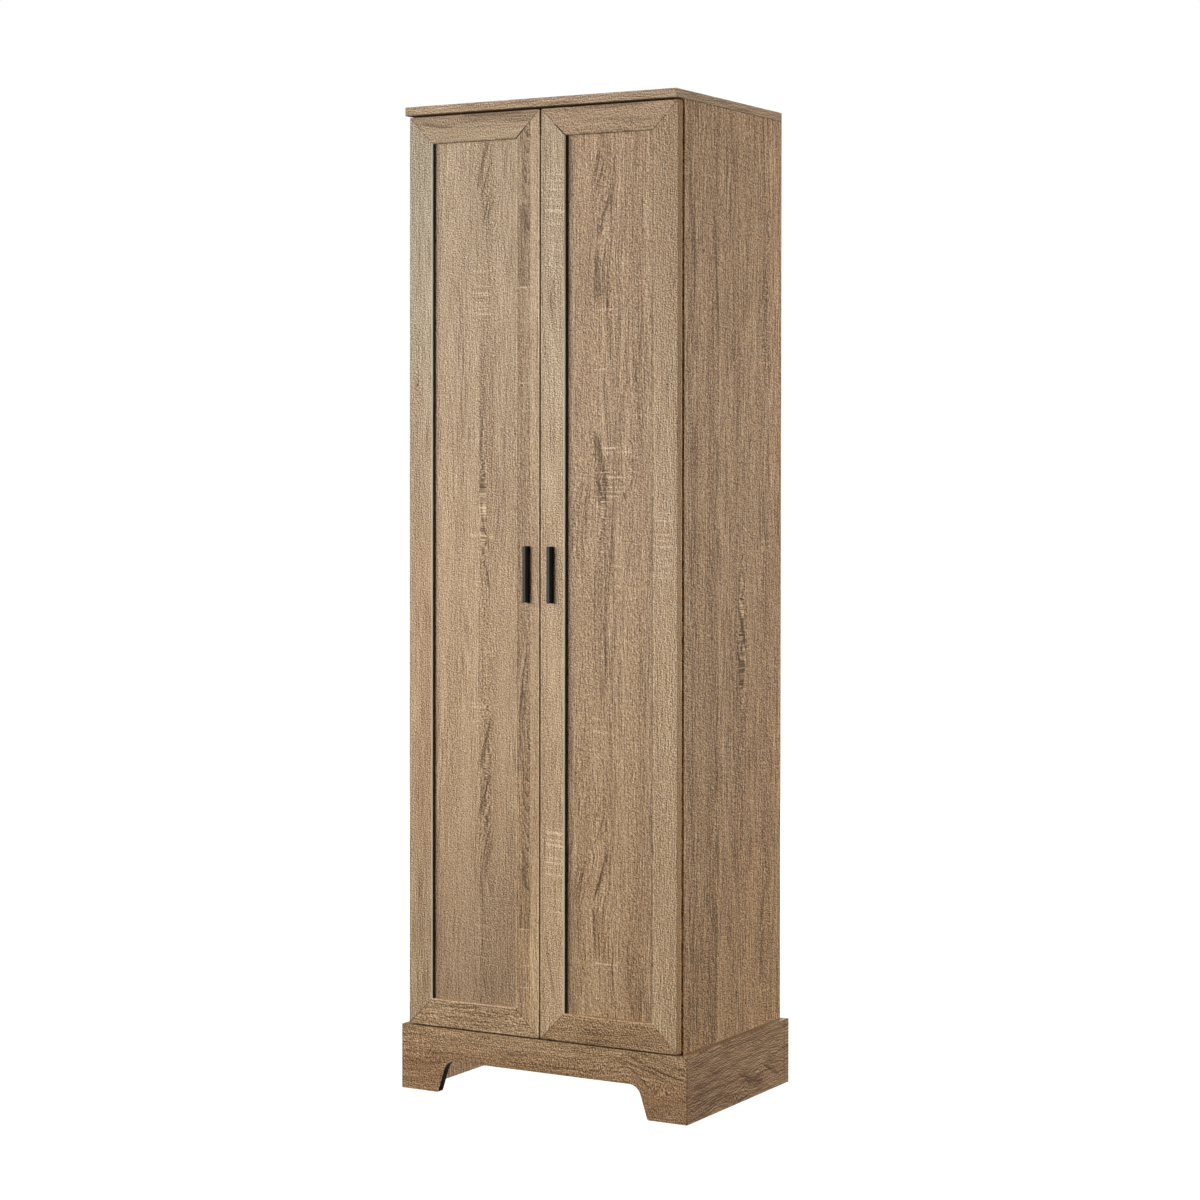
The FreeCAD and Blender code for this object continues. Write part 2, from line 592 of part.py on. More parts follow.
# fixing blocks under the bottom panel, drilled for one screw up and one sideways
BLK = "30"
blk = block("block_body", BLK, BLK, "45", "-15", "0", "0 - 45")
blk_up = cylinder("block_bore_up", "1.75", "45", "0", "15", "0 - 45")
blk_side = cylinder("block_bore_side", "1.75", "30", "0", "30", "0 - 27", (1, 0, 0), 90)
blk_cut = cut("block_master", blk, [blk_up, blk_side])
blk_mid_body = block("mid_block_body", BLK, BLK, "30", "-15", "0", "0 - 30")
blk_mid = cut("mid_block_master", blk_mid_body, [
    cylinder("mid_bore_up", "1.75", "30", "0", "15", "0 - 30"),
    cylinder("mid_bore_side", "1.75", "30", "0", "30", "0 - 15", (1, 0, 0), 90)])
group = []
for i, (master, x, y, turn) in enumerate((
        (blk_cut, "0 - (%s - 15)" % INNER, "board_thk", 0),
        (blk_cut, "%s - 15" % INNER, "board_thk", 0),
        (blk_mid, "0", "board_thk", 0),
        (blk_cut, "0 - (%s - 15)" % INNER, "case_back - board_thk", 180),
        (blk_cut, "%s - 15" % INNER, "case_back - board_thk", 180)), start=1):
    ln = doc.addObject("App::Link", "plinth_block_%d" % i)
    ln.LinkedObject = master
    ln.Placement = FreeCAD.Placement(V(0, 0, 0), FreeCAD.Rotation(V(0, 0, 1), turn))
    put(ln, x, y, "plinth_height")
    group.append(ln)
blocks = doc.addObject("Part::Compound", "plinth_blocks")
blocks.Links = group
keep(blocks, "plinth_blocks")


def screw(name, shank, length, head, head_h, recess=1.0):
    """Screw along +Z from its head's seat: shank up, round head below the seat with a cross recess."""
    s = cylinder(name + "_shank", shank, length)
    hd = cylinder(name + "_head", head, head_h, "0", "0", "0 - (%s)" % head_h)
    body = fuse(name + "_solid", [s, hd])
    a = block(name + "_slot_a", "(%s) * 1.1" % head, "(%s) * 0.24" % head, "(%s) * 0.6" % head_h,
              "0 - (%s) * 0.55" % head, "0 - (%s) * 0.12" % head, "0 - (%s)" % head_h)
    b = block(name + "_slot_b", "(%s) * 0.24" % head, "(%s) * 1.1" % head, "(%s) * 0.6" % head_h,
              "0 - (%s) * 0.12" % head, "0 - (%s) * 0.55" % head, "0 - (%s)" % head_h)
    return cut(name, body, [a, b])


FWD = ((1, 0, 0), 90)      # a screw's +Z turned to -Y
BKW = ((1, 0, 0), -90)     # to +Y
RGT = ((0, 1, 0), 90)      # to +X
LFT = ((0, 1, 0), -90)     # to -X
up_screw = screw("block_screw_up", "1.7", "45 + 10", "3.5", "1.6")
mid_screw = screw("block_screw_mid", "1.7", "30 + 10", "3.5", "1.6")
side_screw = screw("block_screw_side", "1.7", "30 + 8", "3.5", "1.6")
group = []
for i, (master, x, y, z, r) in enumerate((
        (up_screw, "0 - (%s - 15)" % INNER, "board_thk + 15", "plinth_height - 45", None),
        (up_screw, "%s - 15" % INNER, "board_thk + 15", "plinth_height - 45", None),
        (mid_screw, "0", "board_thk + 15", "plinth_height - 30", None),
        (up_screw, "0 - (%s - 15)" % INNER, "case_back - board_thk - 15", "plinth_height - 45", None),
        (up_screw, "%s - 15" % INNER, "case_back - board_thk - 15", "plinth_height - 45", None),
        (side_screw, "0 - (%s - 15)" % INNER, "board_thk + 30", "plinth_height - 27", FWD),
        (side_screw, "%s - 15" % INNER, "board_thk + 30", "plinth_height - 27", FWD),
        (side_screw, "0", "board_thk + 30", "plinth_height - 15", FWD),
        (side_screw, "0 - (%s - 15)" % INNER, "case_back - board_thk - 30", "plinth_height - 27", BKW),
        (side_screw, "%s - 15" % INNER, "case_back - board_thk - 30", "plinth_height - 27", BKW)), start=1):
    ln = doc.addObject("App::Link", "plinth_screw_%d" % i)
    ln.LinkedObject = master
    if r:
        ln.Placement = FreeCAD.Placement(V(0, 0, 0), FreeCAD.Rotation(V(*r[0]), r[1]))
    put(ln, x, y, z)
    group.append(ln)
pscrews = doc.addObject("Part::Compound", "plinth_screws")
pscrews.Links = group
keep(pscrews, "plinth_screws")

# ------------------------------------------------------- cams, cam bolts, dowels
# cam: axis +Z into the board, its open face at z = 0; the bolt enters along -X at half board thickness
cam_solid = cylinder("cam_solid", "cam_dia / 2 - 0.05", "cam_deep - 0.1")
cam_bore = cylinder("cam_bore", "bolt_hole / 2 + 0.1", "cam_dia / 2 + 2", "0 - cam_dia / 2 - 2", "0", "board_thk / 2", (0, 1, 0), 90)
cam = cut("cam_master", cam_solid, [
    cam_bore,
    block("cam_slot_a", "8", "1.4", "2", "-4", "-0.7", "0"),
    block("cam_slot_b", "1.4", "8", "2", "-0.7", "-4", "0")])
# bolt: along +X from the mating face at x = 0 (thread on the -X side)
bolt = fuse("bolt_master", [
    cylinder("bolt_thread", "bolt_screw / 2 - 0.05", "bolt_bite - 0.5", "0.5 - bolt_bite", "0", "0", (0, 1, 0), 90),
    cylinder("bolt_collar", "bolt_hole / 2 - 0.05", "1.5", "0", "0", "0", (0, 1, 0), 90),
    cylinder("bolt_shaft", "2.6", "cam_in - 1.5", "0.5", "0", "0", (0, 1, 0), 90),
    cylinder("bolt_neck", "bolt_hole / 2 - 0.05", "17", "5", "0", "0", (0, 1, 0), 90),
    cylinder("bolt_head", "bolt_hole / 2 - 0.4", "3", "cam_in - 4", "0", "0", (0, 1, 0), 90)])
dowel = framed("dowel_master", cylinder("dowel_solid", "dowel_dia / 2", "dowel_end + dowel_face - 1", "0.5 - dowel_face", "0", "0", (0, 1, 0), 90))

cams, bolts, dowels = [], [], []
FLIP = (0, 0, 1)
R = FreeCAD.Rotation


def lay(items, master, tag, x, y, z, rot):
    ln = doc.addObject("App::Link", "%s_%d" % (tag, len(items) + 1))
    ln.LinkedObject = master
    ln.Placement = FreeCAD.Placement(V(0, 0, 0), rot)
    put(ln, x, y, z)
    items.append(ln)


for sgn, turn in (("-", 0), ("+", 180)):
    edge = "0 %s %s" % (sgn, INNER)
    inw = "+" if sgn == "-" else "-"
    for low in ("bottom_low", "hat_low"):
        for y in ("cam_y_front", "cam_y_back"):
            lay(cams, cam, "cam", "%s %s cam_in" % (edge, inw), "board_thk + " + y, low, R(V(0, 0, 1), turn))
            lay(bolts, bolt, "bolt", edge, "board_thk + " + y, low + " + board_thk / 2", R(V(0, 0, 1), turn))
        for y in ("dowel_y_front", "dowel_y_back"):
            lay(dowels, dowel, "dowel", edge, "board_thk + " + y, low + " + board_thk / 2", R(V(0, 0, 1), turn))
    # under the top panel: cams in the side panel's inner face, bolts and dowels upright
    mid = "0 %s (case_width / 2 - board_thk / 2)" % sgn
    for y in ("cam_y_front", "cam_y_back"):
        # the cam's axis points to the panel's outer face and its bolt side points up
        if sgn == "-":
            rot = R(FreeCAD.Matrix(0, 0, -1, 0, 0, 1, 0, 0, -1, 0, 0, 0, 0, 0, 0, 1))
        else:
            rot = R(FreeCAD.Matrix(0, 0, 1, 0, 0, -1, 0, 0, -1, 0, 0, 0, 0, 0, 0, 1))
        lay(cams, cam, "cam", edge, "board_thk + " + y, "side_height - cam_in", rot)
        lay(bolts, bolt, "bolt", mid, "board_thk + " + y, "side_height", R(V(0, 1, 0), 90))
    for y in ("dowel_y_front", "dowel_y_back"):
        lay(dowels, dowel, "dowel", mid, "board_thk + " + y, "side_height", R(V(0, 1, 0), 90))
# divider: cams in its left face
for z, rot_bolt, up in (("bottom_low + board_thk", R(V(0, 1, 0), -90), True), ("hat_low", R(V(0, 1, 0), 90), False)):
    for y in ("cam_y_front", "cam_y_back"):
        if up:      # bolt comes from below: cam's -X side turned down
            rot = R(FreeCAD.Matrix(0, 0, 1, 0, 0, 1, 0, 0, -1, 0, 0, 0, 0, 0, 0, 1)) * R(V(0, 0, 1), 180)
            cz = z + " + cam_in"
        else:       # from above
            rot = R(FreeCAD.Matrix(0, 0, 1, 0, 0, 1, 0, 0, -1, 0, 0, 0, 0, 0, 0, 1))
            cz = z + " - cam_in"
        lay(cams, cam, "cam", "0 - board_thk / 2", "board_thk + " + y, cz, rot)
        lay(bolts, bolt, "bolt", "0", "board_thk + " + y, z, rot_bolt)
    for y in ("dowel_y_front", "dowel_y_back"):
        lay(dowels, dowel, "dowel", "0", "board_thk + " + y, z, rot_bolt)
for label, items in (("cam_locks", cams), ("cam_bolts", bolts), ("dowels", dowels)):
    g = doc.addObject("Part::Compound", label)
    g.Links = items
    keep(g, label)

# ------------------------------------------------------------ anti-tip brackets
# angle bracket: one leg under the top panel, one against the back panel; origin at the inner corner
bk = new_body("bracket_master")
pad(bk, polygon(bk, "bracket_section", "YZ_Plane", [
    ("0", "0"), ("0", "0 - bracket_leg"), ("0 - bracket_thk", "0 - bracket_leg"), ("0 - bracket_thk", "0 - bracket_thk"),
    ("0 - bracket_leg", "0 - bracket_thk"), ("0 - bracket_leg", "0")]), "bracket_wide", midplane=True)
drill(bk, "bracket_wall_hole", "XZ_Plane", "0", [("0", "wall_hole_z - side_height")], "wall_hole * 2", "bracket_thk", False)
drill(bk, "bracket_top_holes", "XY_Plane", "0", [("0", "-10"), ("0", "-22")], "3.2", "bracket_thk", False)
soften(bk, "3", lambda a, b: near(abs(a.x), NUM["bracket_wide"] / 2) and near(a.x, b.x)
       and (both(a, b, "z", -NUM["bracket_leg"]) or both(a, b, "y", -NUM["bracket_leg"])))
copies("anti_tip_brackets", bk, [("0 %s bracket_x" % s, "case_back", "side_height") for s in "-+"])
bscrew = screw("bracket_screw_master", "1.5", "bracket_thk + 10", "3", "1.2")
copies("bracket_screws", bscrew, [("0 %s bracket_x" % s, "case_back - %s" % y, "side_height - bracket_thk")
                                  for s in "-+" for y in ("10", "22")])

# ---------------------------------------------------------------- door frame
# left door, drawn from its outer lower corner; local y = 0 is the front face
DX = "0 - (2 * door_width + door_gap) / 2"
DY = "0 - door_proud"
DW, DH, DT, FW = "door_width", "door_height", "door_thk", "frame_width"
nDW, nDH, nDT, nFW = NUM[DW], NUM[DH], NUM[DT], NUM[FW]
GROOVE = [("panel_set", FW + " - groove_depth"), ("panel_set + panel_thk", FW + " - groove_depth"),
          ("panel_set + panel_thk", FW), ("panel_set", FW)]


def member(name, outline, groove_role, groove_face, groove_points, run, outer, inner):
    """One mitred frame member: outline in the XZ plane, the panel groove, then its softened edges."""
    b = new_body(name)
    pad(b, polygon(b, name + "_outline", "XZ_Plane", outline), DT, reverse=True)
    slot(b, name + "_groove", groove_role, groove_face, groove_points, run, True)
    soften(b, "inner_bevel", lambda a, c: both(a, c, "y", 0) and inner(a, c), kind="Chamfer")
    soften(b, "edge_soft", lambda a, c: both(a, c, "y", 0) and outer(a, c))
    soften(b, "edge_back", lambda a, c: both(a, c, "y", nDT) and outer(a, c))
    return b


def swap(points):
    return [(y, x) for x, y in points]


hinge_stile = member(
    "left_hinge_stile", [("0", "0"), (FW, FW), (FW, DH + " - " + FW), ("0", DH)],
    "XY_Plane", "0", swap(GROOVE), DH,
    lambda a, c: both(a, c, "x", 0) and not near(a.z, c.z), lambda a, c: both(a, c, "x", nFW) and not near(a.z, c.z))
cups = [("cup_centre", "%s - door_low" % z) for z in HINGES]
drill(hinge_stile, "stile_cups", "XZ_Plane", DT, cups, "cup_radius * 2 + 0.1", "cup_depth + 0.05", False)
drill(hinge_stile, "stile_cup_screws", "XZ_Plane", DT,
      [("cup_centre + 9.5", "%s - door_low %s 22.5" % (z, s)) for z in HINGES for s in "+-"], "3.1", "12", False)
put(hinge_stile, DX, DY, "door_low")
keep(hinge_stile, "left_hinge_stile")

lock_stile = member(
    "left_lock_stile", [(DW, "0"), (DW, DH), (DW + " - " + FW, DH + " - " + FW), (DW + " - " + FW, FW)],
    "XY_Plane", "0", [("%s - (%s)" % (DW, x), y) for x, y in swap(GROOVE)], DH,
    lambda a, c: both(a, c, "x", nDW) and not near(a.z, c.z), lambda a, c: both(a, c, "x", nDW - nFW) and not near(a.z, c.z))
HX = "(door_width + door_gap / 2 - handle_in)"
drill(lock_stile, "stile_handle_bores", "XZ_Plane", DT,
      [(HX, "door_height / 2 %s handle_holes / 2" % s) for s in "+-"], "4.4", DT, False)
put(lock_stile, DX, DY, "door_low")
keep(lock_stile, "left_lock_stile")

bottom_rail = member(
    "left_bottom_rail", [("0", "0"), (DW, "0"), (DW + " - " + FW, FW), (FW, FW)],
    "YZ_Plane", "0", GROOVE, DW,
    lambda a, c: both(a, c, "z", 0) and not near(a.x, c.x), lambda a, c: both(a, c, "z", nFW) and not near(a.x, c.x))
put(bottom_rail, DX, DY, "door_low")
keep(bottom_rail, "left_bottom_rail")

top_rail = member(
    "left_top_rail", [("0", DH), (FW, DH + " - " + FW), (DW + " - " + FW, DH + " - " + FW), (DW, DH)],
    "YZ_Plane", "0", [(x, "%s - (%s)" % (DH, y)) for x, y in GROOVE], DW,
    lambda a, c: both(a, c, "z", nDH) and not near(a.x, c.x), lambda a, c: both(a, c, "z", nDH - nFW) and not near(a.x, c.x))
put(top_rail, DX, DY, "door_low")
keep(top_rail, "left_top_rail")

GIN = "(frame_width - groove_depth + panel_play)"
leaf = new_body("left_door_panel")
pad(leaf, polygon(leaf, "leaf_outline", "XZ_Plane", rect("(door_width - 2 * %s)" % GIN, "(door_height - 2 * %s)" % GIN)),
    "panel_thk", reverse=True)
put(leaf, "%s + %s" % (DX, GIN), "panel_set - door_proud", "door_low + " + GIN)
keep(leaf, "left_door_panel")

# ------------------------------------------------------------- handle and screws
handle = new_body("left_handle")
pad(handle, polygon(handle, "handle_outline", "XY_Plane", rect("handle_wide", "handle_deep")), "handle_long")
drill(handle, "handle_taps", "XZ_Plane", "handle_deep",
      [("handle_wide / 2", "handle_long / 2 %s handle_holes / 2" % s) for s in "+-"], "4", "10", False)
soften(handle, "0.6", lambda a, b: not (both(a, b, "y", NUM["handle_deep"])))
put(handle, "0 - handle_in - handle_wide / 2", "0 - door_proud - handle_deep", "door_low + door_height / 2 - handle_long / 2")
keep(handle, "left_handle")
hscrew = screw("handle_screw_master", "1.95", "door_thk + 8", "3.8", "1.8")
hs = []
for i, s in enumerate("+-", start=1):
    ln = doc.addObject("App::Link", "handle_screw_%d" % i)
    ln.LinkedObject = hscrew
    ln.Placement = FreeCAD.Placement(V(0, 0, 0), R(V(1, 0, 0), 90))
    put(ln, "0 - handle_in", "door_thk - door_proud", "door_low + door_height / 2 %s handle_holes / 2" % s)
    hs.append(ln)
g = doc.addObject("Part::Compound", "left_handle_screws")
g.Links = hs
keep(g, "left_handle_screws")

# ----------------------------------------------------------------------- hinges
# hinge masters: x = 0 at the door's outer edge, y = 0 at the plinth front, z = 0 at the hinge's centre
YB = "(door_thk - door_proud)"              # the door's back face
AX = "axis_in"
AY = "(door_thk - door_proud - axis_deep)"
cup_out = cylinder("cup_out", "cup_radius", "cup_depth", "cup_centre", YB, "0", (1, 0, 0), 90)
lugs = []
for tag, z in (("up", "4.5"), ("low", "-11")):
    box = block("lug_box_" + tag, "7.4", "8.2", "6.5", "3", YB + " - cup_depth + 0.2", z)
    rnd = cylinder("lug_round_" + tag, "cup_radius - 0.2", "cup_depth", "cup_centre", YB, "0", (1, 0, 0), 90)
    com = doc.addObject("Part::Common", "lug_" + tag)
    com.Base = box
    com.Tool = rnd
    lugs.append(com)
cup_in = cylinder("cup_in", "cup_radius - cup_wall", "cup_depth - cup_wall + 3", "cup_centre", YB + " + 3", "0", (1, 0, 0), 90)
shell = cut("cup_shell", cup_out, [cup_in])
wing = block("cup_wing", "22", "1.2", "56", "17", YB, "-28")
wing_mouth = cylinder("cup_wing_mouth", "cup_radius - cup_wall", "3", "cup_centre", YB + " + 2", "0", (1, 0, 0), 90)
wing_holes = [cylinder("cup_wing_hole_" + t, "1.65", "3", "cup_centre + 9.5", YB + " + 2", z, (1, 0, 0), 90)
              for t, z in (("up", "22.5"), ("low", "-22.5"))]
wing_cut = cut("cup_wing_cut", wing, [wing_mouth] + wing_holes)
cup_all = fuse("cup_all", [shell, wing_cut] + lugs)
pin_bore = cylinder("pin_bore", "hinge_pin + 0.01", "18.2", AX, AY, "-9.1")
cup = cut("cup_master", cup_all, [pin_bore])
copies("left_hinge_cups", cup, [(DX, "0", z) for z in HINGES])

hpin = framed("hinge_pin_master", cylinder("hinge_pin_solid", "hinge_pin", "18", AX, AY, "-9"))
copies("left_hinge_pins", hpin, [(DX, "0", z) for z in HINGES])

arm = new_body("arm_master")
pad(arm, polygon(arm, "arm_hook", "XY_Plane", [
    ("6.6", "2.75"), ("9", "1.9"), ("19", "1.9"), ("22", "4.9"), ("22", "22"), ("17", "22"), ("17", "14.5"), ("18.3", "9.5"),
    ("17.9", "5.9"), ("16.6", "4.5"), ("14.6", "4.1"), ("9.1", "4.9")]), "8", midplane=True)
pad(arm, circles(arm, "arm_eye", "XY_Plane", [(AX, AY)], "4.8"), "8", midplane=True)
pad(arm, polygon(arm, "arm_beam", "XY_Plane", [("17", "18"), ("21.5", "18"), ("24", "21"), ("24", "66"), ("17", "66")]), "13", midplane=True)
eye = circles(arm, "arm_eye_bore", "XY_Plane", [(AX, AY)], "2 * hinge_pin + 0.1", "10")
pocket(arm, eye, "20", False)
drill(arm, "arm_screw_bores", "YZ_Plane", "30", [("36", "0"), ("58", "0")], "4", "20", False)
copies("left_hinge_arms", arm, [(DX, "0", z) for z in HINGES])

PX = "(%s - (case_width / 2 - (2 * door_width + door_gap) / 2) + 0)" % "board_thk"   # side panel's inner face
plate = new_body("plate_master")
pad(plate, polygon(plate, "plate_wing", "YZ_Plane", [("plate_line - 10", "-25"), ("plate_line + 10", "-25"),
                                                     ("plate_line + 10", "25"), ("plate_line - 10", "25")], PX), "1.8")
pad(plate, polygon(plate, "plate_body", "YZ_Plane", [("26", "-7"), ("68", "-7"), ("68", "7"), ("26", "7")], PX), "17 - " + PX)
drill(plate, "plate_holes", "YZ_Plane", "30", [("plate_line", "plate_pitch / 2"), ("plate_line", "0 - plate_pitch / 2")], "5", "30", False)
drill(plate, "plate_arm_bores", "YZ_Plane", "30", [("36", "0"), ("58", "0")], "4", "30", False)
copies("left_mounting_plates", plate, [(DX, "0", z) for z in HINGES])

pscrew = screw("plate_screw_master", "2.4", "1.8 + 10", "4.2", "2")
copies("left_plate_screws", pscrew, [("%s + %s + 1.8" % (DX, PX), "plate_line", "%s %s plate_pitch / 2" % (z, s)) + LFT
                                     for z in HINGES for s in "+-"])
ascrew = screw("arm_screw_master", "1.9", "24 - %s - 0.4" % PX, "3", "1.1")
copies("left_arm_screws", ascrew, [(DX + " + 24", y, z) + LFT for z in HINGES for y in ("36", "58")])
cscrew = screw("cup_screw_master", "1.5", "1.2 + 11", "3", "1.3")
copies("left_cup_screws", cscrew, [("%s + cup_centre + 9.5" % DX, YB + " + 1.2", "%s %s 22.5" % (z, s)) + FWD
                                   for z in HINGES for s in "+-"])

# soft bumpers on the door's back, facing the bottom panel and the hat shelf
bump = doc.addObject("Part::Cone", "bumper_solid")
bump.Radius1 = 4.5
bump.Radius2 = 3.6
bump.Height = 2
bump.Placement = FreeCAD.Placement(V(0, 0, 0), R(V(1, 0, 0), -90))
copies("left_door_bumpers", framed("bumper_master", bump),
       [("0 - 14", YB, z) for z in ("bottom_low + 11", "hat_low + board_thk / 2")])

doc.recompute()
by_label = dict((o.Label, o) for o in NODES)
for label in ("hinge_stile", "lock_stile", "bottom_rail", "top_rail", "door_panel", "handle", "handle_screws", "hinge_cups",
              "hinge_pins", "hinge_arms", "mounting_plates", "plate_screws", "arm_screws", "cup_screws", "door_bumpers"):
    mirrored(by_label["left_" + label], "right_" + label)

# ------------------------------------------------------------- check and write
doc.recompute()
bad = [o.Name for o in doc.Objects if "Invalid" in o.State or "Error" in o.State]
if bad:
    raise RuntimeError("objects that failed: " + ", ".join(bad))
for o in NODES:
    if o.Shape.isNull() or not o.Shape.isValid() or not o.Shape.Solids:
        raise RuntimeError("no valid shape: " + o.Label)
labels = [o.Label for o in NODES]
if len(set(labels)) != len(labels) or len(labels) > 60:
    raise RuntimeError("labels must differ and number at most 60")
os.makedirs("parts", exist_ok=True)
for o in NODES:
    o.Shape.exportStep(os.path.join("parts", o.Label + ".step"))
print(len(NODES), "nodes written,", sum(len(o.Shape.Solids) for o in NODES), "solids")
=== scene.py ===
import bpy
import math
import random
from mathutils import Matrix, Vector


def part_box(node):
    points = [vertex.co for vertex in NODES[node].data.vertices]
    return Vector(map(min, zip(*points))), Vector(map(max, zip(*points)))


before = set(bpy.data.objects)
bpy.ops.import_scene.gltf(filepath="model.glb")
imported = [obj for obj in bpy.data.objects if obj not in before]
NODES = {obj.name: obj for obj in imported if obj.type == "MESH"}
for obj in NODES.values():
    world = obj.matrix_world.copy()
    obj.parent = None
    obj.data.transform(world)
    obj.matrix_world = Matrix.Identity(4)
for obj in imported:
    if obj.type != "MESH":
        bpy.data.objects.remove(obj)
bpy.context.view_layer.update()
PX = 2.1  # width of one step of the figure's line widths, in mm


# ---------------------------------------------------------------- node helpers
class Tree:
    def __init__(self, tree):
        self.t = tree
        self.tc = None

    def node(self, kind, **props):
        n = self.t.nodes.new(kind)
        for k, v in props.items():
            setattr(n, k, v)
        return n

    def put(self, socket, value):
        if hasattr(value, "is_output"):
            self.t.links.new(value, socket)
        elif value is not None:
            socket.default_value = value

    def m(self, op, a, b=None, c=None, clamp=False):
        n = self.node("ShaderNodeMath", operation=op)
        n.use_clamp = clamp
        self.put(n.inputs[0], a)
        self.put(n.inputs[1], b)
        if c is not None:
            self.put(n.inputs[2], c)
        return n.outputs[0]

    def add(self, a, b):
        return self.m("ADD", a, b)

    def sub(self, a, b):
        return self.m("SUBTRACT", a, b)

    def mul(self, a, b):
        return self.m("MULTIPLY", a, b)

    def mad(self, a, b, c):
        return self.m("MULTIPLY_ADD", a, b, c)

    def total(self, terms):
        out = None
        for t in terms:
            out = t if out is None else self.add(out, t)
        return out

    def step(self, x, lo, hi, a=0.0, b=1.0, kind="SMOOTHSTEP"):
        n = self.node("ShaderNodeMapRange", interpolation_type=kind)
        self.put(n.inputs[0], x)
        for i, v in enumerate((lo, hi, a, b)):
            n.inputs[i + 1].default_value = v
        return n.outputs[0]

    def vec(self, x, y, z):
        n = self.node("ShaderNodeCombineXYZ")
        for s, v in zip(n.inputs, (x, y, z)):
            self.put(s, v)
        return n.outputs[0]

    def noise(self, vector, scale=1.0, detail=2.0, rough=0.55, dist=0.0):
        n = self.node("ShaderNodeTexNoise", noise_dimensions="3D")
        self.put(n.inputs["Vector"], vector)
        n.inputs["Scale"].default_value = scale
        n.inputs["Detail"].default_value = detail
        n.inputs["Roughness"].default_value = rough
        n.inputs["Distortion"].default_value = dist
        return n.outputs[0]

    def noise1(self, w, detail=0.0):
        n = self.node("ShaderNodeTexNoise", noise_dimensions="1D")
        self.put(n.inputs["W"], w)
        n.inputs["Scale"].default_value = 1.0
        n.inputs["Detail"].default_value = detail
        return n.outputs[0]

    def voronoi(self, vector, scale, feature="F1", out=0):
        n = self.node("ShaderNodeTexVoronoi", feature=feature)
        self.put(n.inputs["Vector"], vector)
        n.inputs["Scale"].default_value = scale
        return n.outputs[out]

    def ramp(self, x, stops, kind="LINEAR"):
        n = self.node("ShaderNodeValToRGB")
        n.color_ramp.interpolation = kind
        el = n.color_ramp.elements
        while len(el) < len(stops):
            el.new(1.0)
        for e, (p, c) in zip(el, stops):
            e.position = p
            e.color = (*c, 1.0) if len(c) == 3 else c
        self.put(n.inputs[0], x)
        return n.outputs[0]

    def mix(self, fac, a, b, blend="MIX"):
        n = self.node("ShaderNodeMix", data_type="RGBA", blend_type=blend)
        self.put(n.inputs[0], fac)
        for s, v in ((n.inputs[6], a), (n.inputs[7], b)):
            if isinstance(v, tuple):
                v = (*v, 1.0)
            self.put(s, v)
        return n.outputs[2]

    def coords(self):
        """x, y, z of the part, in mm, and its own normal."""
        tc = self.node("ShaderNodeTexCoord")
        sc = self.node("ShaderNodeVectorMath", operation="SCALE")
        self.put(sc.inputs[0], tc.outputs["Object"])
        sc.inputs["Scale"].default_value = 1000.0
        s = self.node("ShaderNodeSeparateXYZ")
        self.put(s.inputs[0], sc.outputs[0])
        n = self.node("ShaderNodeSeparateXYZ")
        self.put(n.inputs[0], tc.outputs["Normal"])
        return s.outputs[0], s.outputs[1], s.outputs[2], n.outputs[0], n.outputs[1], n.outputs[2]


class Sum:
    """A running sum: each part is added as soon as it is made, which keeps the shader's stack small."""
    def __init__(self, t):
        self.t, self.value = t, None

    def append(self, x):
        self.value = x if self.value is None else self.t.add(self.value, x)

    def __bool__(self):
        return self.value is not None


def material(name):
    mat = bpy.data.materials.new(name)
    mat.use_nodes = True
    t = Tree(mat.node_tree)
    bsdf = [n for n in mat.node_tree.nodes if n.type == "BSDF_PRINCIPLED"][0]
    return mat, t, bsdf


def bump(t, bsdf, height, strength, distance):
    n = t.node("ShaderNodeBump")
    n.inputs["Strength"].default_value = strength
    n.inputs["Distance"].default_value = distance
    t.put(n.inputs["Height"], height)
    t.put(bsdf.inputs["Normal"], n.outputs[0])


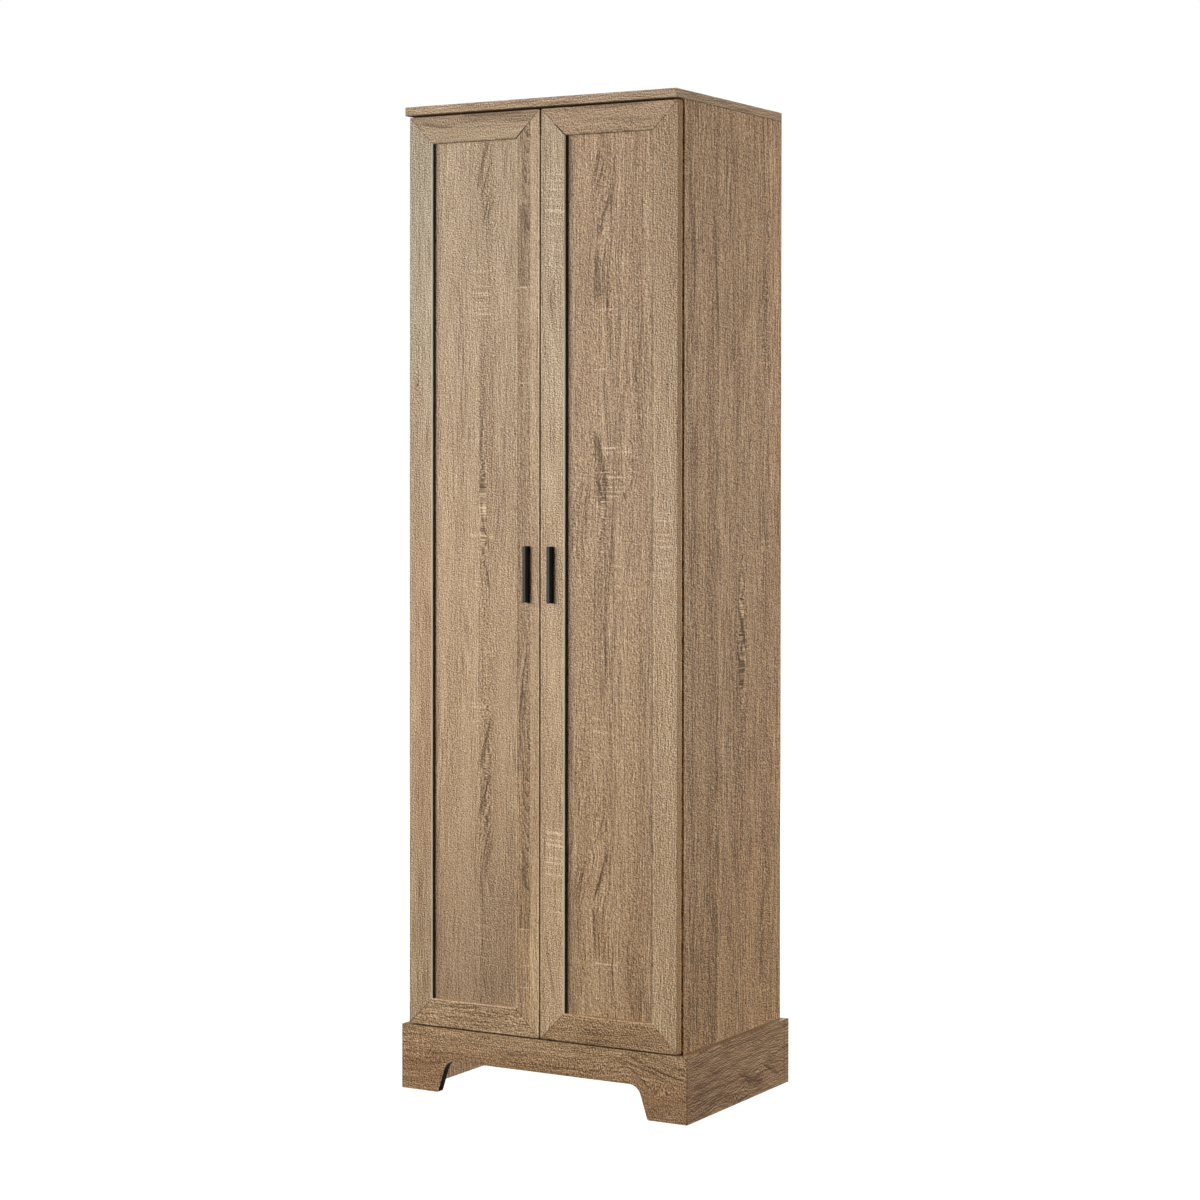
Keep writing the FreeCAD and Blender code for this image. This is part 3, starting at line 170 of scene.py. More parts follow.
# ---------------------------------------------------------------- oak decor
FEATURES = {
    "left_door_panel": [
        ('strand', (-116, 1751), (-131, 1708), (-140, 1655), 2.5, 1, 0.9),
        ('strand', (-108, 1716), (-123, 1676), (-133, 1631), 1.2, 0.8, 0.7),
        ('strand', (-110, 1661), (-120, 1631), (-127, 1595), 1, 0.8, 0.8),
        ('strand', (-105, 1639), (-116, 1616), (-122, 1582), 1, 0.8, 0.7),
        ('strand', (-140, 1659), (-141, 1531), (-137, 1404), 1, 0.8, 0.4),
        ('strand', (-114, 1631), (-115, 1494), (-114, 1385), 1.2, 1, 0.4),
        ('strand', (-133, 1376), (-134, 1221), (-135, 1075), 3.5, 0.7, 0.42),
        ('strand', (-109, 1376), (-107, 1221), (-113, 1093), 1, 1.5, 0.4),
        ('strand', (-135, 1084), (-124, 1038), (-113, 998), 1.6, 1.2, 0.8),
        ('strand', (-96, 1148), (-96, 1057), (-111, 984), 0.9, 0.9, 0.5),
        ('strand', (-86, 1130), (-83, 1039), (-96, 966), 0.9, 0.9, 0.4),
        ('strand', (-124, 993), (-118, 956), (-109, 925), 1, 3, 0.7),
        ('strand', (-137, 910), (-135, 800), (-135, 718), 3, 0.8, 0.35),
        ('strand', (-109, 706), (-122, 651), (-139, 595), 3, 2, 0.6),
        ('strand', (-109, 600), (-126, 550), (-139, 507), 1.6, 1, 1),
        ('strand', (-139, 516), (-143, 452), (-141, 379), 0.9, 0.9, 0.5),
        ('strand', (-109, 505), (-119, 472), (-128, 431), 1, 0.8, 0.7),
        ('strand', (-106, 476), (-115, 445), (-122, 398), 1, 0.8, 0.6),
        ('strand', (-128, 224), (-121, 193), (-119, 175), 1.5, 1.5, 0.5),
        ('strand', (-110, 235), (-108, 207), (-108, 176), 1, 1, 0.5),
        ('bar', (-129, 1509), (-112, 1511), 0.5),
        ('bar', (-127, 1465), (-114, 1467), 0.5),
        ('bar', (-131, 1453), (-116, 1454), 0.5),
        ('bar', (-129, 1440), (-114, 1442), 0.5),
        ('bar', (-127, 1431), (-114, 1432), 0.5),
        ('ladder', (-129, 1467), (-109, 1412), 0.5),
        ('ladder', (-152, 1181), (-133, 1148), 0.35),
        ('ladder', (-131, 1033), (-103, 1002), 0.8),
        ('ladder', (-154, 974), (-124, 929), 0.35),
        ('bar', (-132, 714), (-109, 715), 0.9),
        ('bar', (-146, 721), (-130, 722), 0.35),
        ('bar', (-146, 687), (-130, 688), 0.4),
        ('bar', (-118, 816), (-105, 816), 0.6),
        ('bar', (-115, 774), (-105, 774), 0.35),
        ('ladder', (-128, 303), (-108, 249), 0.6),
        ('knot', (-128, 1053), (-120, 1020), 0.8),
        ('knot', (-54, 1231), (-45, 1210), 0.5),
        ('knot', (-172, 1038), (-168, 1027), 0.35),
        ('band', (-238, 907), (-170, 909), (-134, 910), (-132, 910), (-107, 911), (-90, 911), (-53, 912)),
    ],
    "right_door_panel": [
        ('strand', (119, 1722), (113, 1697), (105, 1673), 1, 0.8, 0.8),
        ('strand', (127, 1709), (119, 1674), (107, 1644), 1, 0.8, 0.9),
        ('strand', (134, 1744), (138, 1691), (138, 1637), 0.8, 0.8, 0.5),
        ('strand', (140, 1650), (126, 1602), (109, 1550), 1.6, 1.2, 0.8),
        ('leaf', (138, 1643), (121, 1604), (105, 1566), 16, 0.6),
        ('strand', (107, 1541), (107, 1487), (107, 1441), 7, 0.6, 0.55),
        ('strand', (138, 1557), (128, 1519), (124, 1441), 1.5, 2.5, 0.35),
        ('strand', (195, 1396), (193, 1308), (197, 1228), 2.5, 2, 0.3),
        ('leaf', (132, 1081), (127, 1163), (111, 1220), -23, 1),
        ('leaf', (111, 1090), (106, 1149), (110, 1213), 20, 0.6),
        ('strand', (104, 1140), (120, 1113), (130, 1074), 1.5, 1.5, 0.7),
        ('strand', (128, 1090), (130, 917), (131, 739), 0.9, 0.9, 0.8),
        ('strand', (89, 1152), (75, 1077), (73, 969), 0.9, 0.9, 0.5),
        ('strand', (99, 1138), (85, 1068), (85, 952), 0.9, 0.9, 0.5),
        ('strand', (110, 988), (108, 881), (112, 738), 1.4, 1.2, 0.55),
        ('strand', (104, 1127), (93, 1091), (91, 1014), 0.8, 0.8, 0.5),
        ('strand', (99, 1148), (68, 1095), (60, 1008), 0.8, 0.8, 0.45),
        ('strand', (189, 1149), (179, 1120), (165, 1101), 0.8, 0.8, 0.35),
        ('strand', (167, 1110), (169, 1104), (169, 1096), 1.4, 1.4, 0.9),
        ('strand', (145, 1086), (143, 1024), (143, 935), 0.8, 0.8, 0.4),
        ('strand', (100, 448), (78, 410), (69, 355), 0.8, 0.8, 0.4),
        ('strand', (104, 430), (88, 393), (82, 333), 0.8, 0.8, 0.4),
        ('strand', (144, 1717), (144, 1655), (140, 1584), 0.8, 0.8, 0.4),
        ('strand', (120, 961), (120, 863), (122, 756), 1, 1, 0.45),
        ('strand', (165, 1362), (163, 1220), (165, 1096), 1, 1, 0.35),
        ('strand', (121, 556), (112, 532), (104, 512), 1, 0.8, 0.8),
        ('strand', (127, 533), (117, 501), (104, 473), 1, 0.8, 0.9),
        ('strand', (137, 486), (125, 439), (104, 374), 1.6, 1.2, 0.8),
        ('leaf', (135, 472), (121, 428), (104, 380), 16, 0.6),
        ('strand', (104, 373), (105, 317), (105, 269), 7, 0.6, 0.55),
        ('strand', (135, 391), (125, 346), (121, 274), 1.5, 2.5, 0.35),
        ('strand', (178, 332), (176, 261), (179, 190), 1.6, 1.6, 0.25),
        ('strand', (197, 236), (197, 210), (199, 181), 3, 3, 0.3),
        ('bar', (130, 1434), (156, 1433), 0.9),
        ('bar', (146, 1424), (156, 1423), 0.3),
        ('bar', (124, 1458), (130, 1458), 0.6),
        ('bar', (120, 1328), (132, 1328), 0.8),
        ('bar', (138, 1188), (155, 1187), 0.8),
        ('bar', (134, 1179), (146, 1178), 0.4),
        ('bar', (136, 1145), (157, 1144), 0.6),
        ('bar', (153, 1136), (175, 1136), 0.7),
        ('bar', (120, 817), (126, 816), 0.8),
        ('bar', (131, 266), (158, 268), 0.9),
        ('bar', (140, 258), (156, 258), 0.5),
        ('bar', (115, 220), (123, 220), 0.6),
        ('bar', (115, 205), (123, 205), 0.6),
        ('bar', (134, 1188), (161, 1188), 0.7),
        ('bar', (156, 1180), (191, 1180), 0.6),
        ('bar', (118, 1161), (128, 1161), 0.6),
        ('bar', (123, 1144), (138, 1144), 0.9),
        ('bar', (140, 1135), (157, 1135), 0.5),
        ('bar', (147, 1118), (173, 1118), 0.8),
        ('bar', (140, 1110), (169, 1110), 0.9),
        ('bar', (137, 1102), (163, 1102), 1),
        ('bar', (131, 1092), (143, 1092), 1),
        ('bar', (120, 1083), (134, 1083), 0.7),
        ('bar', (147, 1057), (159, 1058), 0.5),
        ('ladder', (128, 1109), (155, 1085), 0.6),
        ('ladder', (144, 1163), (173, 1128), 0.45),
        ('ladder', (123, 674), (143, 629), 0.55),
        ('ladder', (151, 962), (165, 918), 0.3),
        ('knot', (126, 1100), (136, 1067), 0.45),
        ('knot', (180, 1651), (183, 1646), 0.6),
        ('knot', (50, 902), (58, 883), 0.6),
        ('band', (50, 915), (107, 916), (130, 917), (132, 917), (165, 918), (204, 919), (224, 920)),
    ],
    "left_lock_stile": [
        ('band', (-45, 913), (-21, 914), (-20, 914), (4, 914)),
        ('vee', (-26, 1748), (-16, 1764), 1),
        ('vee', (-26, 1720), (-16, 1736), 0.9),
        ('vee', (-26, 1682), (-16, 1698), 0.9),
        ('vee', (-26, 1662), (-16, 1678), 0.9),
        ('vee', (-26, 1635), (-16, 1651), 0.6),
        ('vee', (-25, 1581), (-16, 1609), 1),
        ('patch', (-47, 1627), (-21, 1479), 0.5, 0.42),
        ('leaf', (-44, 1627), (-39, 1596), (-29, 1570), 18, 0.35),
        ('strand', (-24, 823), (-34, 783), (-38, 723), 0.9, 0.9, 0.8),
        ('strand', (-22, 805), (-30, 751), (-36, 696), 0.9, 0.9, 0.6),
        ('patch', (-46, 750), (-20, 592), 4, 0.17),
        ('vee', (-25, 586), (-15, 603), 1),
        ('vee', (-25, 557), (-15, 574), 0.9),
        ('vee', (-25, 530), (-15, 547), 0.9),
        ('vee', (-24, 505), (-15, 522), 0.8),
        ('vee', (-24, 483), (-15, 500), 0.9),
        ('vee', (-24, 458), (-15, 475), 0.8),
        ('vee', (-24, 429), (-15, 446), 0.9),
        ('vee', (-24, 389), (-15, 406), 1),
        ('patch', (-46, 433), (-20, 318), 0.5, 0.34),
        ('bar', (-33, 1478), (-20, 1478), 0.8),
        ('bar', (-33, 1415), (-22, 1415), 0.5),
        ('bar', (-33, 1374), (-22, 1374), 0.5),
        ('bar', (-33, 1347), (-22, 1346), 0.4),
        ('bar', (-33, 1336), (-22, 1336), 0.4),
        ('bar', (-33, 1305), (-20, 1305), 0.8),
        ('bar', (-31, 1280), (-20, 1280), 0.5),
        ('bar', (-31, 1255), (-20, 1255), 0.45),
        ('bar', (-32, 316), (-19, 317), 0.8),
        ('bar', (-32, 251), (-21, 252), 0.5),
        ('bar', (-32, 211), (-19, 212), 0.7),
        ('bar', (-32, 182), (-21, 183), 0.4),
    ],
    "right_lock_stile": [
        ('band', (4, 1544), (20, 1543), (53, 1542)),
        ('ladder', (32, 1636), (54, 1581), 0.95),
        ('ladder', (36, 1543), (53, 1497), 0.3),
        ('strand', (18, 1480), (26, 1426), (34, 1364), 0.8, 1.6, 0.6),
        ('strand', (16, 1373), (20, 1274), (24, 1148), 1.2, 1, 0.5),
        ('strand', (28, 1346), (30, 1238), (28, 1130), 1, 1, 0.4),
        ('bar', (45, 1141), (53, 1141), 0.6),
        ('ladder', (33, 460), (55, 410), 1.05),
        ('ladder', (38, 367), (54, 332), 0.5),
        ('strand', (15, 293), (23, 248), (30, 195), 0.8, 2.5, 0.6),
    ],
    "right_hinge_stile": [
        ('band', (232, 920), (240, 920), (272, 921), (282, 922)),
        ('bar', (253, 1088), (269, 1088), 0.5),
        ('bar', (255, 1060), (275, 1060), 0.8),
        ('bar', (251, 1035), (267, 1035), 0.4),
        ('bar', (255, 1024), (273, 1025), 0.6),
        ('bar', (259, 1014), (279, 1014), 1),
        ('bar', (254, 993), (271, 993), 0.6),
        ('bar', (256, 980), (271, 981), 0.5),
        ('bar', (254, 968), (272, 969), 0.6),
        ('bar', (256, 958), (272, 958), 0.6),
        ('bar', (250, 931), (260, 932), 0.4),
        ('bar', (252, 601), (264, 601), 0.5),
        ('bar', (256, 578), (268, 579), 0.3),
        ('bar', (258, 543), (274, 544), 0.3),
        ('ladder', (255, 1017), (276, 953), 0.5),
    ],
    "left_hinge_stile": [
        ('band', (-280, 907), (-260, 907), (-231, 908)),
        ('strand', (-260, 1774), (-260, 1572), (-258, 1387), 0.9, 0.9, 0.35),
        ('ladder', (-248, 279), (-233, 234), 0.3),
        ('knot', (-262, 1304), (-255, 1291), 0.35),
    ],
    "right_side_panel": [
        ('band', (-183, 921), (-145, 919), (-111, 918), (-48, 915), (-44, 915), (21, 912), (78, 910), (147, 907), (215, 904)),
        ('ladder', (-174, 1679), (-161, 1642), 0.5),
        ('ladder', (-170, 506), (-157, 470), 0.5),
        ('strand', (-140, 1599), (-140, 1529), (-140, 1440), 1.1, 1.1, 1),
        ('strand', (-64, 1650), (-56, 1543), (-51, 1373), 0.8, 2.4, 0.85),
        ('strand', (-106, 1770), (-110, 1628), (-105, 1451), 2, 2, 0.3),
        ('strand', (157, 1557), (137, 1504), (124, 1448), 1.2, 1, 1),
        ('strand', (149, 1463), (133, 1416), (129, 1366), 1.6, 1.2, 0.8),
        ('strand', (153, 1640), (144, 1593), (136, 1533), 1, 0.8, 0.7),
        ('bar', (137, 1346), (162, 1347), 0.9),
        ('bar', (-143, 1338), (-132, 1338), 0.6),
        ('strand', (-59, 1238), (-54, 1149), (-54, 1050), 1.5, 2, 0.5),
        ('strand', (130, 1133), (138, 1065), (147, 988), 1, 1.8, 0.8),
        ('strand', (147, 1000), (143, 907), (148, 814), 0.9, 0.9, 0.6),
        ('bar', (151, 1102), (172, 1100), 0.5),
        ('bar', (159, 1049), (184, 1048), 0.5),
        ('bar', (143, 1016), (159, 1015), 0.7),
        ('bar', (147, 1007), (168, 1005), 0.9),
        ('bar', (143, 1000), (159, 998), 0.5),
        ('ladder', (49, 926), (74, 888), 0.6),
        ('strand', (25, 957), (25, 839), (26, 693), 1.6, 0.5, 0.8),
        ('strand', (37, 900), (49, 852), (62, 810), 2.4, 2.4, 1),
        ('strand', (50, 838), (46, 816), (58, 797), 3, 2.5, 0.9),
        ('bar', (58, 856), (70, 853), 0.8),
        ('bar', (58, 845), (78, 842), 1),
        ('bar', (54, 832), (74, 829), 0.9),
        ('bar', (66, 822), (82, 819), 0.7),
        ('strand', (-60, 673), (-52, 619), (-48, 555), 1, 2, 0.6),
        ('ladder', (136, 601), (153, 553), 0.45),
        ('ladder', (-5, 605), (22, 548), 0.35),
        ('strand', (-68, 468), (-55, 322), (-51, 177), 1.2, 2.5, 0.6),
        ('strand', (-143, 344), (-143, 308), (-143, 278), 1.2, 1.2, 0.6),
        ('strand', (150, 386), (133, 341), (125, 296), 1.2, 1, 1),
        ('strand', (133, 304), (125, 250), (125, 194), 1.6, 1.4, 0.7),
        ('bar', (142, 184), (167, 180), 0.9),
        ('knot', (46, 838), (66, 809), 0.7),
    ],
    "plinth_front": [
        ('strand', (-128, 84), (0, 90), (125, 95), 1.2, 1.2, 0.5),
        ('strand', (-85, 74), (42, 73), (146, 77), 1.2, 1.2, 0.5),
        ('strand', (42, 109), (125, 104), (207, 105), 1, 1, 0.4),
        ('strand', (133, 94), (190, 86), (227, 51), 0.9, 1, 1.15),
        ('strand', (156, 103), (207, 91), (263, 73), 0.9, 1, 1.05),
        ('strand', (176, 111), (237, 91), (299, 75), 1.1, 1.3, 1.25),
        ('strand', (190, 118), (247, 106), (301, 91), 0.9, 0.9, 0.75),
        ('strand', (217, 14), (247, 28), (287, 26), 1, 1, 0.5),
        ('ladder', (-272, 80), (-233, 62), 0.7),
        ('strand', (-293, 51), (-248, 49), (-204, 57), 1, 1, 0.4),
    ],
    "plinth_right_side": [
        ('strand', (-188, 58), (-97, 58), (-7, 55), 0.9, 0.9, 0.8),
        ('strand', (1, 55), (33, 39), (57, 21), 0.9, 0.9, 1.1),
        ('strand', (17, 52), (62, 31), (106, 23), 2.6, 1.2, 1.3),
        ('strand', (37, 32), (74, 22), (102, 20), 1.6, 1.2, 0.8),
        ('strand', (106, 50), (140, 35), (165, 25), 2.2, 1.4, 1),
        ('strand', (152, 25), (177, 26), (207, 30), 0.9, 0.9, 0.6),
        ('strand', (-142, 21), (-96, 30), (-34, 26), 0.9, 0.9, 0.8),
        ('strand', (-120, 9), (-58, 22), (-7, 24), 0.9, 0.9, 0.7),
        ('strand', (-42, 30), (-19, 18), (-15, 6), 0.9, 0.9, 0.6),
        ('strand', (-161, 67), (-7, 77), (156, 77), 1, 1, 0.5),
        ('strand', (-161, 95), (-7, 106), (156, 106), 1, 1, 0.45),
        ('strand', (-180, 42), (-85, 45), (13, 44), 0.9, 0.9, 0.6),
    ],
    "left_bottom_rail": [
        ('strand', (-191, 162), (-126, 163), (-61, 162), 1, 1, 0.4),
        ('strand', (-213, 144), (-126, 140), (-40, 137), 1, 1, 0.35),
    ],
    "right_bottom_rail": [
        ('strand', (75, 146), (148, 148), (209, 147), 1.2, 1.2, 0.5),
        ('strand', (96, 132), (168, 130), (249, 128), 1.2, 1.2, 0.55),
    ],
    "left_top_rail": [
        ('band', (-142, 1753), (-142, 1778), (-142, 1781), (-142, 1798)),
        ('strand', (-258, 1787), (-225, 1778), (-181, 1777), 1.2, 1, 0.7),
        ('strand', (-170, 1793), (-106, 1794), (-31, 1794), 2.5, 2, 0.5),
    ],
    "right_top_rail": [
        ('strand', (42, 1793), (125, 1793), (226, 1796), 2, 2, 0.45),
        ('strand', (73, 1770), (145, 1771), (216, 1772), 1, 1, 0.4),
    ],

}

# tone steps across a board, at the u places of its "band" entry
BANDS = {
    "left_door_panel": (0.02, 0.03, 0.06, -0.05, -0.03, 0.0, 0.02),
    "right_door_panel": (0.0, 0.04, 0.0, -0.03, 0.02, -0.05, 0.02),
    "left_lock_stile": (-0.13, -0.12, 0.05, 0.04),
    "left_top_rail": (0.03, 0.03, -0.06, -0.07),
    "right_lock_stile": (-0.03, 0.05, 0.07),
    "right_hinge_stile": (-0.02, 0.05, 0.0, 0.02),
    "left_hinge_stile": (0.03, 0.0, 0.04),
    "right_side_panel": (0.04, -0.05, 0.03, -0.09, 0.07, -0.02, 0.05, -0.03, 0.03),
}

WOOD = [
    (0.00, (0.085, 0.047, 0.022)),
    (0.24, (0.165, 0.098, 0.050)),
    (0.50, (0.345, 0.226, 0.129)),
    (0.78, (0.530, 0.385, 0.243)),
    (1.00, (0.720, 0.570, 0.400)),
]


def lines(t, v, u, seed):
    """Cross lines of a saw blade: thin, uneven, a little broken along the fibre."""
    w = t.mad(v, 1 / 7.5, t.mad(u, 0.010, seed))
    n = t.noise1(w, 2.0)
    return t.step(n, 0.50, 0.68)


def strand(t, u, v, p0, p1, p2, wu, wd, amount):
    """A dark streak along the grain through three points: wu and wd are its widths towards +u and -u."""
    (u0, v0), (u1, v1), (u2, v2) = p0, p1, p2
    k = (v1 - v0) / (v2 - v0)
    # u(s) = u0 + b s + c s^2, s = 0..1 from p0 to p2
    c = ((u1 - u0) - (u2 - u0) * k) / (k * k - k)
    b = (u2 - u0) - c
    s = t.mad(v, 1 / (v2 - v0), -v0 / (v2 - v0))
    mid = t.mad(t.mad(s, c, b), s, u0)
    d = t.sub(u, mid)
    gt = t.m("GREATER_THAN", d, 0.0)
    inv = t.mad(gt, 1 / (wu * PX) - 1 / (wd * PX), 1 / (wd * PX))
    q = t.mul(d, inv)
    q2 = t.mad(q, q, 1.0)
    prof = t.m("POWER", q2, -2.0)
    taper = t.m("MULTIPLY", t.mul(s, t.sub(1.0, s)), 6.0, clamp=True)
    sc = t.m("MINIMUM", t.m("MAXIMUM", s, -0.1), 1.1)
    line = t.mad(t.mad(sc, c, b), sc, u0)
    near = t.mul(t.sub(u, line), 1 / 14.0)
    far = t.mul(t.sub(s, sc), abs(v2 - v0) / 60.0)
    weight = t.m("DIVIDE", 1.0, t.m("POWER", t.add(t.mad(near, near, 1.0), t.mul(far, far)), 1.5))
    return t.mul(t.mul(prof, taper), amount), t.mul(weight, t.sub(line, (u0 + u2) / 2)), weight


def bar(t, u, v, p0, p1, amount):
    (u0, v0), (u1, v1) = p0, p1
    uc, vc, hw = (u0 + u1) / 2, (v0 + v1) / 2, abs(u1 - u0) / 2
    a = t.step(t.m("ABSOLUTE", t.sub(u, uc)), hw * 0.6, hw * 1.15, 1.0, 0.0)
    b = t.step(t.m("ABSOLUTE", t.sub(v, vc)), 0.6, 2.0, 1.0, 0.0)
    return t.mul(t.mul(a, b), amount)


def patch(t, u, v, p0, p1, soft, amount):
    """A dark flat part of the figure with crisp long edges; it fades over soft mm at its lower end (p1)."""
    (u0, v0), (u1, v1) = p0, p1
    lo, hi = min(u0, u1), max(u0, u1)
    m = t.mul(t.step(u, lo - 0.6, lo + 0.6), t.step(u, hi - 0.6, hi + 0.6, 1.0, 0.0))
    m = t.mul(m, t.step(v, v0 - 1.0, v0 + 3.0, 1.0, 0.0))
    return t.mul(t.mul(m, t.step(v, v1, v1 + soft)), amount)


def leaf(t, u, v, p0, p1, p2, wide, amount):
    """A dark leaf: crisp along the curve through three points, fading over wide mm towards +u (or -u if negative)."""
    (u0, v0), (u1, v1), (u2, v2) = p0, p1, p2
    k = (v1 - v0) / (v2 - v0)
    c = ((u1 - u0) - (u2 - u0) * k) / (k * k - k)
    b = (u2 - u0) - c
    s = t.mad(v, 1 / (v2 - v0), -v0 / (v2 - v0))
    d = t.sub(u, t.mad(t.mad(s, c, b), s, u0))
    if wide < 0:
        d = t.mul(d, -1.0)
    prof = t.mul(t.step(d, -0.9, 0.9), t.step(d, 0.0, abs(wide), 1.0, 0.0))
    ends = t.m("MULTIPLY", t.mul(s, t.sub(1.0, s)), 9.0, clamp=True)
    return t.mul(t.mul(prof, ends), amount)


def dots(t, u, v, p0, p1, pitch, amount):
    """A row of short slanting pores, one every pitch mm, from p0 up to p1."""
    (u0, v0), (u1, v1) = p0, p1
    w = t.m("FRACT", t.mad(v, 1 / pitch, 0.0))
    d = t.m("ABSOLUTE", t.add(t.sub(u, u0), t.mad(w, -4.0, 2.0)))
    m = t.mul(t.step(d, 0.6, 2.2, 1.0, 0.0), t.m("MULTIPLY", t.mul(w, t.sub(1.0, w)), 5.0, clamp=True))
    m = t.mul(m, t.mul(t.step(v, v0 - 6.0, v0 + 6.0), t.step(v, v1 - 6.0, v1 + 6.0, 1.0, 0.0)))
    return t.mul(m, amount)


def bar_pts(p0, p1):
    """A bar's entry is its centre and its end."""
    return (2 * p0[0] - p1[0], p0[1]), (p1[0], p1[1])


def oak(name, along, across, origin, seed, tone=0.0, wild=1.0, switch=False, raw=None, back=None, clip=None, frame_edge=False, seam=None, plain=False, coarse=1.0, short=1.0, cool=None, gain=1.0, paper=None, cut=False, curl=(0.15, 0.8), tint=None, streaky=1.0, lowc=None, crisp=1.0, shade=None, ledge=False, corner=None):
    """A printed oak decor board. along is the grain's axis; across and origin turn the other two into one coordinate."""
    mat, t, bsdf = material("oak_" + name)
    x, y, z, nx, ny, nz = t.coords()
    P = {"x": x, "y": y, "z": z}
    v = P[along]
    a, b = across
    u = t.add(P[a], t.sub(P[b], origin))
    if switch:  # end edges of a board with grain along x carry a band with grain along y
        side = t.step(t.m("ABSOLUTE", nx), 0.6, 0.8)
        u2 = t.add(z, t.mul(y, 0.0))
        u = t.add(t.mul(u, t.sub(1.0, side)), t.mul(u2, side))
        v = t.add(t.mul(v, t.sub(1.0, side)), t.mul(y, side))
    feats = FEATURES.get(name, [])
    # grain flow: the fibres lean, ripple and part round knots
    rnd = random.Random(seed)
    s0 = seed * 7.31
    um, vm = u, v
    flow = t.noise(t.vec(t.mul(u, 0.016), t.mul(v, 0.0045), s0), 1.0, 2.0, 0.5)
    ripple = t.noise(t.vec(t.mul(u, 0.05), t.mul(v, 0.035), s0 + 3.0), 1.0, 2.0, 0.6)
    wildness = t.step(t.noise(t.vec(t.mul(u, 0.02), t.mul(v, 0.003), s0 + 9.0), 1.0, 1.0), 0.40, 0.60, *curl)
    g = t.mad(t.sub(flow, 0.5), 15.0 * wild, u)
    g = t.add(g, t.mul(t.mul(t.sub(ripple, 0.5), 5.0 * wild), wildness))
    dark, light, knots, pulls, weights = (Sum(t) for _ in range(5))
    ug = t.mad(t.sub(ripple, 0.5), 2.0, u)
    for f in feats:
        if f[0] == "knot":
            (ku, kv), (ke, kf), amt = f[1], f[2], f[3]
            if along != "z":
                ku, kv, ke, kf = kv, ku, kf, ke
            r = max(3.0, abs(ke - ku))
            h = max(10.0, abs(kf - kv) * 1.6)
            du = t.mul(t.sub(u, ku), 1 / (r * 2.6))
            dv = t.mul(t.sub(v, kv), 1 / (h * 2.2))
            e = t.m("POWER", t.add(t.mad(du, du, 1.0), t.mul(dv, dv)), -1.6)
            side = t.m("TANH", t.mul(du, 2.5))
            g = t.sub(g, t.mul(t.mul(e, side), r * 1.5 * amt))
            du2 = t.mul(t.sub(u, ku), 1 / r)
            dv2 = t.mul(t.sub(v, kv), 1 / h)
            rr = t.add(t.mul(du2, du2), t.mul(dv2, dv2))
            core = t.m("POWER", t.add(rr, 1.0), -2.5)
            rad = t.m("SQRT", rr)
            ring = t.m("SINE", t.mad(rad, 9.0, t.mul(ripple, 7.0)))
            ringm = t.m("POWER", t.mad(rr, 0.18, 1.0), -2.0)
            dark.append(t.mul(core, 0.20 * amt))
            knots.append(t.mul(t.mul(ring, ringm), 0.025 * amt))
    for f in feats:
        if f[0] == "strand":
            p = f[1:4]
            if along == "x":
                p = [(q[1], q[0]) for q in p]
            if along == "y":
                p = [(q[1], q[0]) for q in p]
            prof, pull, weight = strand(t, ug, v, *p, f[4] * 1.2, f[5] * 1.0, 0.30 * f[6] * (1.0 + 0.10 * max(f[4], f[5])))
            dark.append(prof)
            pulls.append(pull)
            weights.append(weight)
        elif f[0] == "bar":
            light.append(bar(t, u, v, *bar_pts(f[1], f[2]), 0.30 * f[3]))
        elif f[0] == "patch":
            dark.append(patch(t, u, v, f[1], f[2], f[3], 0.30 * f[4]))
        elif f[0] == "dots":
            dark.append(dots(t, u, v, f[1], f[2], f[3], 0.30 * f[4]))
        elif f[0] == "leaf":
            dark.append(leaf(t, ug, v, f[1], f[2], f[3], f[4], 0.30 * f[5]))
        elif f[0] == "vee":
            (cu, cv), (eu, ev), amt = f[1], f[2], f[3]
            if along != "z":
                cu, cv, eu, ev = cv, cu, ev, eu
            hw, hh = max(3.0, abs(eu - cu)), abs(ev - cv)
            d = t.mul(t.sub(u, cu), 1 / hw)
            arc = t.sub(v, t.mad(t.mul(d, d), hh, cv))
            q = t.mul(t.m("MAXIMUM", arc, 0.0), 1 / 11.0)
            prof = t.mul(t.m("POWER", t.mad(q, q, 1.0), -2.0), t.step(arc, -1.3, 1.0))
            prof = t.sub(prof, t.mul(t.step(t.m("ABSOLUTE", t.add(arc, 3.0)), 0.8, 2.2, 1.0, 0.0), 0.25))
            wide = t.step(t.m("ABSOLUTE", d), 1.2, 1.5, 1.0, 0.0)
            if clip is not None:
                wide = t.mul(wide, t.m("LESS_THAN", u, clip))
            dark.append(t.mul(t.mul(prof, wide), 0.30 * amt))
    boxes = [f for f in feats if f[0] == "ladder"]
    if not feats and not plain:
        lo, hi = EXTENT[name]
        for i in range(rnd.choice((2, 3, 4))):
            uc = rnd.uniform(lo[0], hi[0])
            vc = rnd.uniform(lo[1], hi[1])
            L = rnd.uniform(60, 200)
            lean = rnd.uniform(-14, 14)
            prof, pull, weight = strand(t, ug, v, (uc, vc - L), (uc + lean * 0.3, vc), (uc + lean, vc + L), rnd.uniform(0.8, 3.0), rnd.uniform(0.8, 2.0), 0.26 * rnd.uniform(0.4, 0.9))
            dark.append(prof)
            pulls.append(pull)
            weights.append(weight)
        for i in range(rnd.choice((1, 2))):
            uc = rnd.uniform(lo[0], hi[0])
            vc = rnd.uniform(lo[1], hi[1])
            boxes.append(("ladder", (uc, vc), (uc + rnd.uniform(10, 20), vc + rnd.uniform(25, 60)), rnd.uniform(0.4, 0.8)))
    if boxes:
        lad = lines(t, v, u, s0)
        for f in boxes:
            (cu, cv), (eu, ev), amt = f[1], f[2], f[3]
            if along != "z" and feats:
